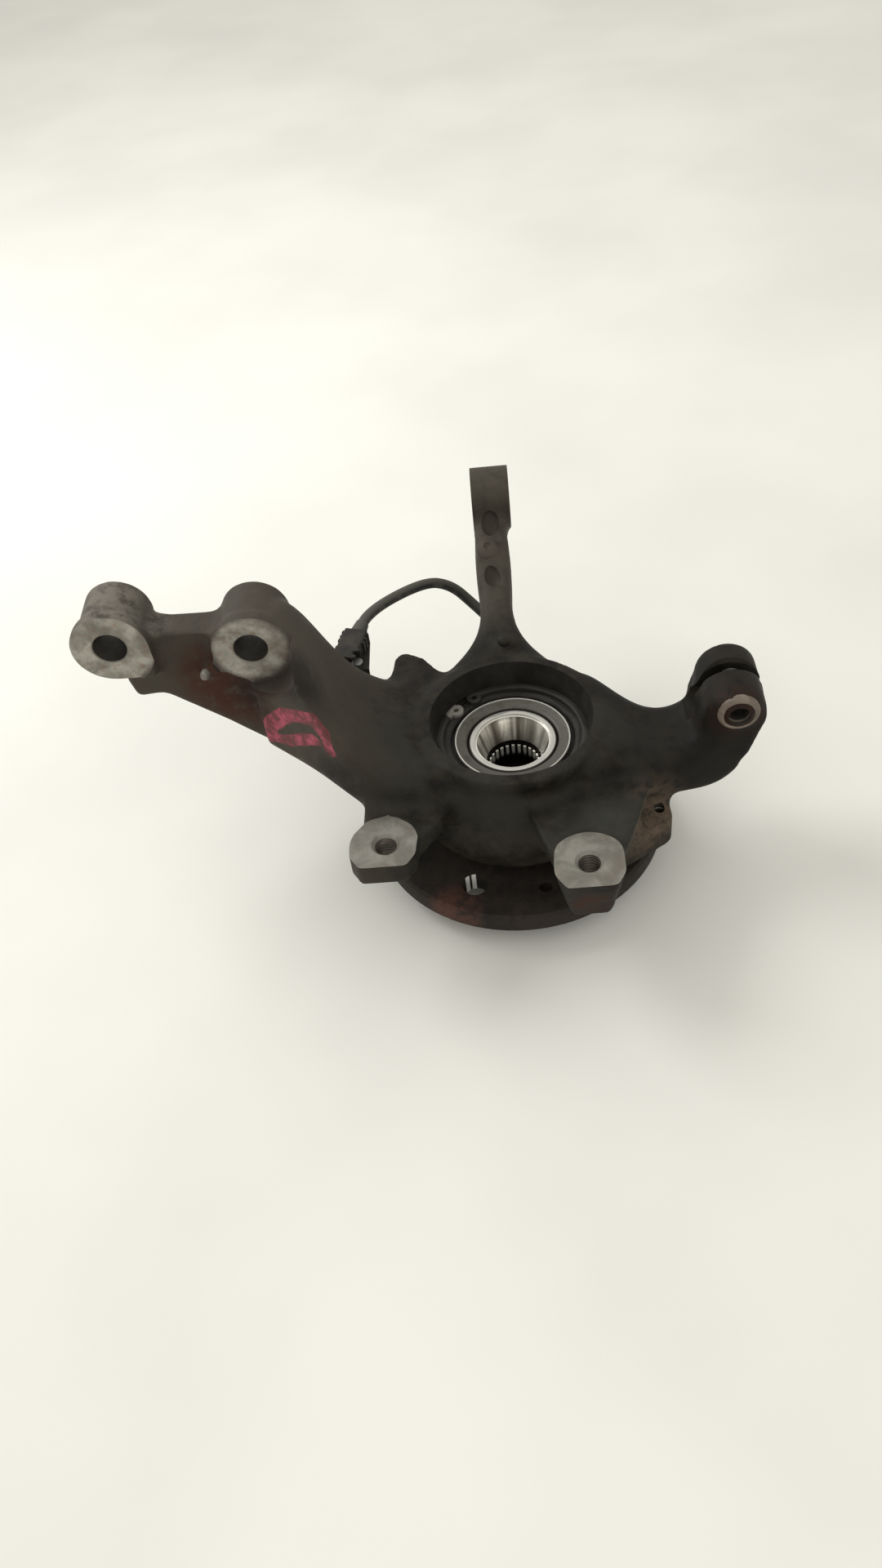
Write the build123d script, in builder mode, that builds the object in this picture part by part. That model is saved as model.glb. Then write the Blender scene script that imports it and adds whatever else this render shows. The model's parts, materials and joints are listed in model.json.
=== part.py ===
"""Front steering knuckle with its wheel hub, hub bearing and wheel speed sensor.

The hub axis is Z. The wheel side is down, and the origin lies on the hub axis at the outer end of
the hub pilot. -X points up the vehicle to the strut, +X down to the ball joint and +Y along the
vehicle to the tie rod. All sizes are in millimetres.
"""

from build123d import *

import os
from math import cos, pi, radians, sin, tan

os.makedirs("parts", exist_ok=True)

# ---------------------------------------------------------------------------------------------
# Driving dimensions
# ---------------------------------------------------------------------------------------------

# Fits and gaps
running_clearance = 0.05
free_gap = 0.3

# Wheel hub
pilot_radius = 28.5
pilot_length = 11.0
flange_radius = 73.3
flange_thickness = 10.5
hub_shoulder_height = 11.5
hub_shoulder_radius = 23.6
hub_root_radius = 31.0
wheel_bolt_count = 5
wheel_bolt_circle_radius = 56.0
wheel_bolt_core_radius = 6.25
wheel_bolt_azimuth = 245.0
disc_screw_core_radius = 3.4
nut_seat_radius = 20.0
nut_seat_depth = 9.0
spline_count = 26
spline_minor_radius = 12.0
spline_depth = 1.25
spline_relief_length = 1.8
spigot_recess = 0.8
lead_in_radius = 17.7
lead_in_depth = 13.0

# Hub bearing
bearing_bore_radius = 18.5
bearing_outer_radius = 36.0
bearing_width = 37.0
inner_ring_recess = 1.5
ball_row_spacing = 16.4
balls_per_row = 12
seal_depth = 4.6
seal_sheet = 0.7
seal_plate = 1.0
flinger_lip_height = 1.1
cage_land = 1.25
cage_finger = 2.2
cage_pocket_clearance = 0.1

# Ball radius as a share of the bearing's section, and radii as shares of the way across it
ball_share = 0.317
inner_land_share = 0.223
inner_middle_share = 0.257
inner_shoulder_share = 0.331
seal_lip_share = 0.366
cage_inner_share = 0.371
ball_pitch_share = 0.5
flinger_outer_share = 0.554
cage_outer_share = 0.623
outer_shoulder_share = 0.663
seal_bore_share = 0.726

# Circlip that holds the bearing in the barrel
circlip_thickness = 2.2
circlip_band = 4.3
circlip_groove_depth = 1.4
circlip_gap_azimuth = 132.0
circlip_ear_spread = 10.5
circlip_ear_radius = 3.8
circlip_hole_radius = 1.35

# Barrel of the casting
recess_over_bearing = 1.0
recess_mouth_flare = 2.5
recess_mouth_depth = 7.5
rim_wall = 6.1
rim_over_bearing = 14.6
barrel_neck_wall = 6.4
barrel_skirt_wall = 15.5
bearing_lip_width = 3.4
bearing_lip_height = 3.5

# Strut arm and its two bolt bosses
strut_hole_radius = 8.0
strut_boss_radius = 16.3
strut_pad_radius = 18.5
strut_pad_height = 6.5
strut_face_y = 10.0
strut_boss_length = 30.0
strut_near_x = -118.0
strut_near_z = 131.0
strut_hole_spacing = 65.4
strut_line_angle = 6.1
strut_web_set_back = 8.0
strut_web_thickness = 16.5
strut_rib_height = 19.0
strut_rib_step = 3.0
strut_foot_drop = 36.0
strut_root_x = -34.0
strut_root_front = -38.0
strut_root_back = 37.0
strut_near_drop = 60.0
web_spot_radius = 3.2
web_spot_from_near = 24.0
web_spot_drop = 12.5
spot_face_radius = 21.0

# Steering arm and tie-rod eye
eye_x = -2.0
eye_y = 139.5
eye_z = 115.5
eye_radius = 16.0
eye_width = 20.0
eye_bore_small_radius = 5.9
eye_bore_large_radius = 7.0
steering_arm_x = -3.2
steering_arm_width = 18.0
steering_arm_root_y = 34.0
arm_boss_y = 105.5
arm_boss_radius = 5.8
arm_boss_offset = -2.2
arm_dimple_spacing = 14.0
arm_dimple_radius = 4.8
arm_dimple_depth = 1.6

# Lower arm: its root on the barrel and its waist before the clamp
lower_arm_root_x = 34.0
lower_arm_root_front = -36.0
lower_arm_root_back = 38.0
lower_arm_waist_front = -29.0
lower_arm_waist_back = 15.0
lower_arm_waist_low = 46.5
lower_arm_waist_high = 74.0

# Ball-stud clamp
clamp_x = 105.0
clamp_y = 2.5
clamp_depth = 38.0
clamp_end_x = 119.5
stud_axis_y = 5.0
stud_axis_z = 78.5
stud_bore_radius = 8.75
stud_bore_length = 32.0
pinch_axis_z = 92.0
pinch_hole_radius = 5.1
pinch_boss_radius = 10.8
pinch_boss_height = 1.8
clamp_slot = 5.4
clamp_slot_chamfer = 2.0
clamp_ear_radius = 14.6

# Caliper lugs
caliper_left_x = -61.6
caliper_left_y = -63.1
caliper_left_radius = 15.5
caliper_left_reach = 13.5
caliper_left_shift = 1.3
caliper_right_x = 29.8
caliper_right_y = -82.1
caliper_right_radius = 16.0
caliper_right_reach = 14.8
caliper_face_z = 70.0
caliper_left_height = 12.5
caliper_right_height = 27.0
caliper_right_taper = 12.0
caliper_core_radius = 5.1
caliper_chamfer = 1.5

# Shield lug and sensor tab
shield_lug_x = 67.5
shield_lug_y = -33.0
shield_lug_z = 45.0
shield_lug_radius = 6.6
shield_lug_height = 19.0
shield_hole_radius = 2.6

# Wheel speed sensor, set in the root of the steering arm
sensor_x = -4.0
sensor_tilt = 35.0
sensor_nose_radius = 4.7
sensor_bore_clearance = 0.3
sensor_nose_length = 27.0
sensor_boss_radius = 9.5
sensor_ear_offset = 13.0
sensor_ear_radius = 6.2
sensor_ear_thickness = 5.0
sensor_head_radius = 7.6
sensor_head_length = 12.0
sensor_exit_radius = 4.6
sensor_exit_length = 11.0
bushing_radius = 4.4
screw_shank_radius = 3.0
screw_head_radius = 5.0
screw_head_height = 4.2
screw_length = 16.0
o_ring_radius = 0.65

# Sensor lead and its bracket on the strut arm
cable_radius = 2.8
boot_length = 9.0
boot_wall = 1.5
boot_lip = 0.6
connector_x = -76.8
connector_y = 52.0
connector_z = 94.0
connector_angle = 16.0
connector_width = 12.0
connector_length = 14.0
connector_height = 8.5
lead_boot_length = 9.0
bracket_thickness = 1.5
bracket_width = 16.0
bracket_drop = 17.0
bracket_screw_length = 12.0
connector_foot = 7.5
rivet_offset = 5.5
rivet_radius = 1.6
rivet_head_radius = 2.8

# ---------------------------------------------------------------------------------------------
# Levels and places worked out from the driving dimensions
# ---------------------------------------------------------------------------------------------

flange_top = pilot_length + flange_thickness
bearing_low = flange_top + hub_shoulder_height
bearing_high = bearing_low + bearing_width
bearing_middle = (bearing_low + bearing_high) / 2
inboard_row_z = bearing_middle + ball_row_spacing / 2
inner_ring_high = bearing_high - inner_ring_recess
seal_floor = bearing_high - seal_depth
barrel_low = bearing_low - bearing_lip_height
rim_z = bearing_high + rim_over_bearing
circlip_high = bearing_high + circlip_thickness
recess_radius = bearing_outer_radius + recess_over_bearing
recess_mouth_radius = recess_radius + recess_mouth_flare
rim_radius = recess_mouth_radius + rim_wall
barrel_neck_radius = recess_radius + barrel_neck_wall
barrel_skirt_radius = bearing_outer_radius + barrel_skirt_wall
bearing_lip_radius = bearing_outer_radius - bearing_lip_width
circlip_outer_radius = recess_radius + circlip_groove_depth - free_gap
spigot_top = inner_ring_high - spigot_recess
spline_top = spigot_top - lead_in_depth - spline_relief_length
strut_far_x = strut_near_x - strut_hole_spacing * cos(radians(strut_line_angle))
strut_far_z = strut_near_z + strut_hole_spacing * sin(radians(strut_line_angle))
strut_back_y = strut_face_y + strut_boss_length
strut_web_y = strut_face_y + strut_web_set_back
strut_web_back_y = strut_web_y + strut_web_thickness
clamp_front_y = clamp_y - clamp_depth / 2
clamp_back_y = clamp_y + clamp_depth / 2
row_planes = Plane.XY.offset(bearing_middle)
lower_arm_waist_x = lower_arm_root_x + 0.54 * (clamp_x - lower_arm_root_x)
clamp_ear_x = clamp_end_x - clamp_ear_radius - 0.4
clamp_ear_z = pinch_axis_z - 4


def between(start, end, share):
    """Return the value that lies the given share of the way from start to end."""
    return start + (end - start) * share


def turned(points):
    """Return the solid of revolution about Z of a closed outline of (radius, z) points."""
    with BuildPart() as solid:
        with BuildSketch(Plane.XZ):
            with BuildLine():
                Polyline(*points, close=True)
            make_face()
        revolve(axis=Axis.Z)
    return solid.part


def station_across_x(x, front, back, low, high, corner):
    """Return a section of an arm that runs along X, between two Y values and two Z values."""
    centre = (x, (front + back) / 2, (low + high) / 2)
    with BuildSketch(Plane(origin=centre, x_dir=(0, 1, 0), z_dir=(1, 0, 0))) as section:
        RectangleRounded(back - front, high - low, corner)
    return section.sketch


def station_across_y(y, middle, width, low, high, corner):
    """Return a section of an arm that runs along Y, centred on one X value, between two Z values."""
    centre = (middle, y, (low + high) / 2)
    with BuildSketch(Plane(origin=centre, x_dir=(1, 0, 0), z_dir=(0, -1, 0))) as section:
        RectangleRounded(width, high - low, corner)
    return section.sketch


# ---------------------------------------------------------------------------------------------
# Forms of the casting, each rounded before it joins the rest
# ---------------------------------------------------------------------------------------------

with BuildPart() as barrel:
    skirt_high = barrel_low + 26
    with BuildSketch(Plane.XZ):
        with BuildLine():
            Polyline((bearing_lip_radius, barrel_low), (barrel_skirt_radius - 2.5, barrel_low))
            ThreePointArc(
                (barrel_skirt_radius - 2.5, barrel_low),
                (barrel_skirt_radius, barrel_low + 14),
                (barrel_skirt_radius - 2, skirt_high),
            )
            Spline(
                (barrel_skirt_radius - 2, skirt_high),
                (barrel_neck_radius, rim_z - 13),
                (rim_radius, rim_z - 4),
            )
            Polyline(
                (rim_radius, rim_z - 4),
                (rim_radius, rim_z),
                (bearing_lip_radius, rim_z),
                (bearing_lip_radius, barrel_low),
            )
        make_face()
    revolve(axis=Axis.Z)

# The strut arm runs from the barrel past both bolt bosses to the foot under the far one
strut_root = dict(
    front=strut_root_front,
    back=strut_root_back,
    low=barrel_low + 6,
    high=rim_z - 4,
)
strut_near = dict(
    front=strut_face_y - 6,
    back=strut_back_y - 5,
    low=strut_near_z - strut_near_drop,
    high=strut_near_z + 5,
)
strut_far = dict(
    front=strut_web_y - 1,
    back=strut_web_back_y,
    low=strut_far_z - strut_foot_drop,
    high=strut_far_z + 1,
)


def strut_station(along, front, back, low, high, corner):
    """Return a strut arm section, each edge given as its share of the way from barrel to boss."""
    return station_across_x(
        between(strut_root_x, strut_near_x - 2, along),
        between(strut_root["front"], strut_near["front"], front),
        between(strut_root["back"], strut_near["back"], back),
        between(strut_root["low"], strut_near["low"], low),
        between(strut_root["high"], strut_near["high"], high),
        corner,
    )


with BuildPart() as strut_arm:
    loft(
        sections=[
            strut_station(0.0, 0.0, 0.0, 0.0, 0.0, 12),
            strut_station(0.30, 0.02, 0.0, 0.35, 0.13, 12),
            strut_station(0.53, 0.24, 0.1, 0.71, 0.44, 11),
            strut_station(0.76, 0.62, 0.5, 0.91, 1.06, 9),
            strut_station(1.0, 1.0, 1.0, 1.0, 1.0, 8),
        ]
    )

near_low = strut_near["low"]
far_low = strut_far["low"]

with BuildPart() as strut_web:
    with BuildSketch(Plane.XZ.offset(-strut_web_y)) as web_outline:
        with BuildLine():
            Polyline(
                (strut_near_x + 6, strut_near["high"] - 1),
                (strut_far_x, strut_far["high"]),
                (strut_far_x, far_low + 8),
                (strut_far_x + 3, far_low),
                (strut_far_x + 17, far_low + 1),
                (strut_near_x - 23, near_low + 12),
                (strut_near_x - 5, near_low - 4),
                (strut_near_x + 8, near_low - 16),
                (strut_near_x + 8, near_low + 8),
                close=True,
            )
        make_face()
        fillet(web_outline.vertices().sort_by(Axis.X)[0:3], 2.5)
    extrude(amount=-strut_web_thickness)

with BuildPart() as strut_rib:
    with BuildSketch(Plane.XZ.offset(-(strut_web_y - strut_rib_step))) as rib_outline:
        with BuildLine():
            Polyline(
                (strut_far_x + 1, far_low + strut_rib_height - 6),
                (strut_far_x + 3, far_low),
                (strut_far_x + 17, far_low + 1),
                (strut_near_x - 23, near_low + 12),
                (strut_near_x - 5, near_low - 4),
                (strut_near_x + 8, near_low - 16),
                (strut_near_x + 2, near_low + 2 * strut_rib_height),
                (strut_far_x + 22, far_low + strut_rib_height - 2),
                close=True,
            )
        make_face()
        fillet(rib_outline.vertices().sort_by(Axis.X)[0:3], 2.5)
    extrude(amount=-(strut_web_thickness - 3))
    chamfer(strut_rib.faces().sort_by(Axis.Y)[0].edges(), 1.5)

strut_bosses = ((strut_near_x, strut_near_z), (strut_far_x, strut_far_z))

with BuildPart() as strut_boss_forms:
    # Small locating spot on the web between the bosses
    with BuildSketch(Plane.XZ.offset(-strut_face_y)):
        with Locations((strut_near_x - web_spot_from_near, strut_near_z - web_spot_drop)):
            Circle(web_spot_radius)
    extrude(amount=-strut_web_set_back - 1)
    for boss_x, boss_z in strut_bosses:
        with BuildSketch(Plane.XZ.offset(-strut_face_y)):
            with Locations((boss_x, boss_z)):
                Circle(strut_boss_radius)
        extrude(amount=-strut_boss_length)
        # The pad at the front draws to a corner on the side of the arm
        with BuildSketch(Plane.XZ.offset(-strut_face_y)):
            with Locations((boss_x, boss_z)):
                Circle(strut_pad_radius)
            with Locations((boss_x + strut_pad_radius - 1, boss_z - strut_pad_radius + 2)):
                Circle(1.5)
            make_hull()
        extrude(amount=-strut_pad_height)


def steering_station(along, spread, drop, corner):
    """Return a steering arm section at a share of the way from the barrel to the eye."""
    y = between(steering_arm_root_y, eye_y, along)
    width = steering_arm_width * spread
    high = rim_z - 2 + (eye_z + 11 - rim_z) * along ** 1.7
    return station_across_y(y, steering_arm_x, width, high - drop, high, corner)


with BuildPart() as steering_arm:
    loft(
        sections=[
            steering_station(0.0, 3.8, 33, 12),
            steering_station(0.17, 2.25, 30, 10),
            steering_station(0.33, 1.13, 27, 7),
            steering_station(0.55, 0.97, 24, 6),
            steering_station(0.75, 1.0, 24, 6),
            steering_station(0.92, 1.08, 25, 6),
        ]
    )
    with BuildSketch(Plane.YZ.offset(eye_x - eye_width / 2)):
        with Locations((eye_y, eye_z)):
            Circle(eye_radius)
    extrude(amount=eye_width)

arm_boss_share = (arm_boss_y - steering_arm_root_y) / (eye_y - steering_arm_root_y)
arm_boss_z = rim_z - 2 + (eye_z + 11 - rim_z) * arm_boss_share ** 1.7
arm_slope = 1.7 * (eye_z + 11 - rim_z) * arm_boss_share ** 0.7 / (eye_y - steering_arm_root_y)
arm_top = Plane(origin=(steering_arm_x, arm_boss_y, arm_boss_z), x_dir=(1, 0, 0), z_dir=(0, -arm_slope, 1))
dimple_ball = (arm_dimple_radius**2 + arm_dimple_depth**2) / (2 * arm_dimple_depth)

with BuildPart() as clamp_block:
    with BuildSketch(Plane.XZ.offset(-clamp_front_y)):
        with Locations((clamp_ear_x, clamp_ear_z)):
            Circle(clamp_ear_radius)
        with BuildLine():
            Polyline(
                (clamp_ear_x - clamp_ear_radius, clamp_ear_z),
                (clamp_x - 18, clamp_ear_z - 10),
                (clamp_x - 16, stud_axis_z - 33),
                (clamp_x - 9, stud_axis_z - 33),
                (clamp_x - 1, stud_axis_z - 28.5),
                (clamp_x + 7.5, stud_axis_z - 16.5),
                (clamp_end_x - 2, clamp_ear_z - 10),
                (clamp_end_x, clamp_ear_z - 5),
                (clamp_end_x, clamp_ear_z - 1),
                (clamp_ear_x + clamp_ear_radius, clamp_ear_z),
                close=True,
            )
        make_face()
    extrude(amount=-clamp_depth)
    fillet(clamp_block.edges().group_by(Axis.Y)[0], 3.0)
    fillet(clamp_block.edges().group_by(Axis.Y)[-1], 3.0)

with BuildPart() as lower_arm:
    loft(
        sections=[
            station_across_x(
                lower_arm_root_x,
                lower_arm_root_front,
                lower_arm_root_back,
                barrel_low + 8,
                rim_z - 3,
                12,
            ),
            station_across_x(
                between(lower_arm_root_x, lower_arm_waist_x, 0.54),
                lower_arm_waist_front - 2,
                lower_arm_waist_back + 6,
                lower_arm_waist_low - 4.5,
                lower_arm_waist_high + 5,
                11,
            ),
            station_across_x(
                lower_arm_waist_x,
                lower_arm_waist_front,
                lower_arm_waist_back,
                lower_arm_waist_low,
                lower_arm_waist_high,
                10,
            ),
            station_across_x(
                between(lower_arm_waist_x, clamp_x, 0.54),
                lower_arm_waist_front + 6,
                lower_arm_waist_back + 4,
                lower_arm_waist_low - 3.5,
                lower_arm_waist_high + 5,
                10,
            ),
            station_across_x(
                clamp_x + 3, clamp_front_y, clamp_back_y, stud_axis_z - 28.5, stud_axis_z + 7.5, 9
            ),
        ]
    )


def caliper_lug(x, y, radius, reach, height, taper):
    """Return a lug: a round pad with a flat, corner-chamfered front, standing under its face."""
    front = -reach
    with BuildPart() as lug:
        with BuildSketch(Plane.XY.offset(caliper_face_z)):
            with Locations((x, y)):
                Circle(radius)
                with BuildLine():
                    Polyline(
                        (x - radius, y),
                        (x - radius, y + front * 0.45),
                        (x - radius * 0.7, y + front),
                        (x + radius * 0.7, y + front),
                        (x + radius, y + front * 0.45),
                        (x + radius, y),
                        close=True,
                    )
                make_face()
            with Locations((x, y + front - radius)):
                Rectangle(4 * radius, 2 * radius, mode=Mode.SUBTRACT)
        extrude(amount=-height, taper=taper)
    return lug.part


left_lug = caliper_lug(
    caliper_left_x - caliper_left_shift,
    caliper_left_y,
    caliper_left_radius,
    caliper_left_reach,
    caliper_left_height,
    0,
)
right_lug = caliper_lug(
    caliper_right_x,
    caliper_right_y,
    caliper_right_radius,
    caliper_right_reach,
    caliper_right_height,
    caliper_right_taper,
)

with BuildPart() as caliper_webs:
    web_z = caliper_face_z - 1.5
    with BuildSketch(Plane.XY.offset(web_z)):
        with Locations((caliper_left_x, caliper_left_y)):
            Circle(caliper_left_radius - 4)
        with Locations((-57, -26)):
            Circle(15)
        with Locations((-40, -24)):
            Circle(18)
        make_hull()
    extrude(amount=-caliper_left_height + 2)
    with BuildSketch(Plane.XY.offset(web_z)):
        with Locations((caliper_right_x, caliper_right_y)):
            Circle(caliper_right_radius - 2)
        with Locations((17, -38)):
            Circle(15)
        with Locations((47, -36)):
            Circle(15)
        make_hull()
    extrude(amount=-caliper_right_height + 3, taper=caliper_right_taper)

with BuildPart() as shield_lug:
    with BuildSketch(Plane.XY.offset(shield_lug_z)):
        with Locations((shield_lug_x, shield_lug_y)):
            Circle(shield_lug_radius)
        with Locations((44, -40)):
            Circle(13)
        make_hull()
    extrude(amount=-shield_lug_height)

with BuildPart() as sensor_tab:
    with BuildSketch(Plane.XY.offset(rim_z - 2)):
        with BuildLine():
            Polyline((-60, 20), (-59, 36), (-57, 52), (-52, 57), (-42, 51), (-33, 38), (-30, 20), close=True)
        make_face()
    extrude(amount=-12)
    fillet(sensor_tab.edges().filter_by(Axis.Z), 3.0)

# Bore for the sensor, sloping down and back from the recess through the steering arm's root
sensor_axis = Plane(
    origin=(sensor_x, recess_radius + 3, rim_z - 6),
    x_dir=(1, 0, 0),
    z_dir=(0, cos(radians(sensor_tilt)), -sin(radians(sensor_tilt))),
)

sensor_line = Axis(sensor_axis.origin, sensor_axis.z_dir)

with BuildPart() as sensor_boss:
    with BuildSketch(sensor_axis.offset(6)):
        Circle(sensor_boss_radius)
        with Locations((sensor_ear_offset, 0)):
            Circle(sensor_ear_radius)
        make_hull()
    extrude(amount=sensor_nose_length - 6)

# ---------------------------------------------------------------------------------------------
# Knuckle casting
# ---------------------------------------------------------------------------------------------

with BuildPart() as knuckle_casting:
    add(barrel.part)
    add(strut_arm.part)
    add(strut_web.part)
    add(strut_rib.part)
    add(strut_boss_forms.part)
    add(steering_arm.part)
    add(lower_arm.part)
    add(clamp_block.part)
    add(caliper_webs.part)
    add(left_lug)
    add(right_lug)
    add(shield_lug.part)
    add(sensor_tab.part)
    add(sensor_boss.part)
    with BuildSketch(Plane.XZ.offset(-clamp_front_y)):
        with Locations((clamp_x, pinch_axis_z)):
            Circle(pinch_boss_radius)
    extrude(amount=pinch_boss_height)

    # Ring boss on top of the steering arm, with a dimple before and behind it
    with BuildSketch(arm_top.offset(-2)):
        with Locations((arm_boss_offset, 0)):
            Circle(arm_boss_radius)
    extrude(amount=3.2)
    with BuildSketch(arm_top.offset(-4)):
        with Locations((arm_boss_offset, 0)):
            Circle(arm_boss_radius / 3)
    extrude(amount=6, mode=Mode.SUBTRACT)
    for side in (-1, 1):
        with Locations(arm_top.offset(dimple_ball - arm_dimple_depth)):
            with Locations((0, side * arm_dimple_spacing, 0)):
                Sphere(dimple_ball, mode=Mode.SUBTRACT)

    # Cast nub at the root of the steering arm
    with Locations((steering_arm_x + 2.5, recess_mouth_radius + 14, rim_z)):
        Sphere(3.4)

    # Bearing seat, circlip groove and recess
    add(
        turned(
            [
                (0, pilot_length),
                (bearing_lip_radius, pilot_length),
                (bearing_lip_radius, bearing_low),
                (bearing_outer_radius, bearing_low),
                (bearing_outer_radius, bearing_high),
                (recess_radius + circlip_groove_depth, bearing_high),
                (recess_radius + circlip_groove_depth, circlip_high + running_clearance),
                (recess_radius, circlip_high + running_clearance),
                (recess_radius, rim_z - recess_mouth_depth),
                (recess_mouth_radius, rim_z),
                (recess_mouth_radius, rim_z + 30),
                (0, rim_z + 30),
            ]
        ),
        mode=Mode.SUBTRACT,
    )
    # Spot faces and holes of the strut bosses
    for boss_x, boss_z in strut_bosses:
        with BuildSketch(Plane.XZ.offset(-strut_face_y)):
            with Locations((boss_x, boss_z)):
                Circle(spot_face_radius)
        extrude(amount=40, mode=Mode.SUBTRACT)
        with BuildSketch(Plane.XZ.offset(-strut_face_y + 1)):
            with Locations((boss_x, boss_z)):
                Circle(strut_hole_radius)
        extrude(amount=-strut_boss_length - 2, mode=Mode.SUBTRACT)
    # Ball-stud bore, slot and pinch-bolt hole
    with BuildSketch(Plane.YZ.offset(clamp_end_x + 5)):
        with Locations((stud_axis_y, stud_axis_z)):
            Circle(stud_bore_radius)
    extrude(amount=-stud_bore_length - 5, mode=Mode.SUBTRACT)
    with BuildSketch(Plane.YZ.offset(clamp_end_x + 5)):
        with Locations((stud_axis_y, stud_axis_z + 25)):
            Rectangle(clamp_slot, 50)
    extrude(amount=-stud_bore_length - 5, mode=Mode.SUBTRACT)
    # Both edges of the slot are broken where it runs over the round of the ears
    slot_edge = clamp_ear_radius - clamp_slot_chamfer
    with BuildSketch(Plane(origin=(clamp_ear_x, stud_axis_y, clamp_ear_z), z_dir=(0, 0, 1))):
        with BuildLine():
            Polyline(
                (slot_edge, 0),
                (slot_edge, clamp_slot / 2),
                (slot_edge + 2 * clamp_slot_chamfer, clamp_slot / 2 + 2 * clamp_slot_chamfer),
                (slot_edge + 2 * clamp_slot_chamfer, -clamp_slot / 2 - 2 * clamp_slot_chamfer),
                (slot_edge, -clamp_slot / 2),
                close=True,
            )
        make_face()
    revolve(
        axis=Axis((clamp_ear_x, stud_axis_y, clamp_ear_z), (0, -1, 0)),
        revolution_arc=180,
        mode=Mode.SUBTRACT,
    )
    with BuildSketch(Plane.XZ.offset(-clamp_front_y + 10)):
        with Locations((clamp_x, pinch_axis_z)):
            Circle(pinch_hole_radius)
    extrude(amount=-clamp_depth - 20, mode=Mode.SUBTRACT)
    # Tie-rod eye: tapered bore
    with BuildSketch(Plane.YZ.offset(eye_x - eye_width / 2 - 1)):
        with Locations((eye_y, eye_z)):
            Circle(eye_bore_small_radius)
    with BuildSketch(Plane.YZ.offset(eye_x + eye_width / 2 + 1)):
        with Locations((eye_y, eye_z)):
            Circle(eye_bore_large_radius)
    loft(mode=Mode.SUBTRACT)
    # Caliper bolt holes
    for lug_x, lug_y in ((caliper_left_x, caliper_left_y), (caliper_right_x, caliper_right_y)):
        with Locations((lug_x, lug_y, caliper_face_z)):
            CounterSinkHole(caliper_core_radius, caliper_core_radius + caliper_chamfer, 60, 90)
    # Shield lug hole
    with Locations((shield_lug_x, shield_lug_y, shield_lug_z)):
        Hole(shield_hole_radius, 60)
    # Spot face, bore and screw hole for the sensor
    with BuildSketch(sensor_axis.offset(sensor_nose_length)):
        Circle(sensor_boss_radius + 1)
        with Locations((sensor_ear_offset, 0)):
            Circle(sensor_ear_radius + 1)
        make_hull()
    extrude(amount=sensor_head_length + 15, mode=Mode.SUBTRACT)
    with BuildSketch(sensor_axis.offset(-10)):
        Circle(sensor_nose_radius + sensor_bore_clearance)
    extrude(amount=sensor_nose_length + 11, mode=Mode.SUBTRACT)
    with BuildSketch(sensor_axis.offset(sensor_nose_length + 1)):
        with Locations((sensor_ear_offset, 0)):
            Circle(screw_shank_radius)
    extrude(amount=-screw_length + sensor_ear_thickness - 3, mode=Mode.SUBTRACT)
    # Tapped hole for the bracket's screw
    with BuildSketch(Plane.XZ.offset(-strut_root["back"] - 1)):
        with Locations((connector_x, connector_z - connector_height / 2 - bracket_drop / 2)):
            Circle(screw_shank_radius)
    extrude(amount=bracket_screw_length + 2, mode=Mode.SUBTRACT)

knuckle_casting.part.label = "knuckle_casting"
export_step(knuckle_casting.part, "parts/knuckle_casting.step")

# ---------------------------------------------------------------------------------------------
# Wheel hub
# ---------------------------------------------------------------------------------------------

spline_root_radius = spline_minor_radius + spline_depth

with BuildPart() as wheel_hub:
    add(
        turned(
            [
                (nut_seat_radius, 0),
                (pilot_radius - 1, 0),
                (pilot_radius, 1),
                (pilot_radius, pilot_length),
                (flange_radius - 0.8, pilot_length),
                (flange_radius, pilot_length + 0.8),
                (flange_radius, flange_top - 1.5),
                (flange_radius - 1.5, flange_top),
                (hub_root_radius + 5, flange_top),
                (hub_root_radius, flange_top + 2),
                (hub_shoulder_radius, bearing_low - 3),
                (hub_shoulder_radius, bearing_low),
                (bearing_bore_radius, bearing_low),
                (bearing_bore_radius, spigot_top),
                (lead_in_radius, spigot_top),
                (spline_root_radius + 0.3, spigot_top - lead_in_depth),
                (spline_root_radius + 0.3, spline_top),
                (spline_minor_radius, spline_top),
                (spline_minor_radius, nut_seat_depth),
                (nut_seat_radius, nut_seat_depth),
            ]
        )
    )
    # Spline spaces
    space_width = pi * spline_minor_radius / spline_count
    with BuildSketch(Plane.XY.offset(nut_seat_depth)):
        with PolarLocations(spline_minor_radius, spline_count):
            Rectangle(2 * spline_depth, space_width)
    extrude(amount=spline_top - nut_seat_depth, mode=Mode.SUBTRACT)
    # Threaded wheel-bolt holes and the disc screw hole between two of them
    with BuildSketch(Plane.XY.offset(flange_top)):
        with PolarLocations(wheel_bolt_circle_radius, wheel_bolt_count, start_angle=wheel_bolt_azimuth):
            Circle(wheel_bolt_core_radius)
        with PolarLocations(
            wheel_bolt_circle_radius, 1, start_angle=wheel_bolt_azimuth + 180 / wheel_bolt_count
        ):
            Circle(disc_screw_core_radius)
    extrude(amount=-flange_thickness, mode=Mode.SUBTRACT)

wheel_hub.part.label = "wheel_hub"
export_step(wheel_hub.part, "parts/wheel_hub.step")

# ---------------------------------------------------------------------------------------------
# Hub bearing
# ---------------------------------------------------------------------------------------------


def across_section(share):
    """Return the radius that lies the given share of the way from the bearing's bore to its outside."""
    return between(bearing_bore_radius, bearing_outer_radius, share)


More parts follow.
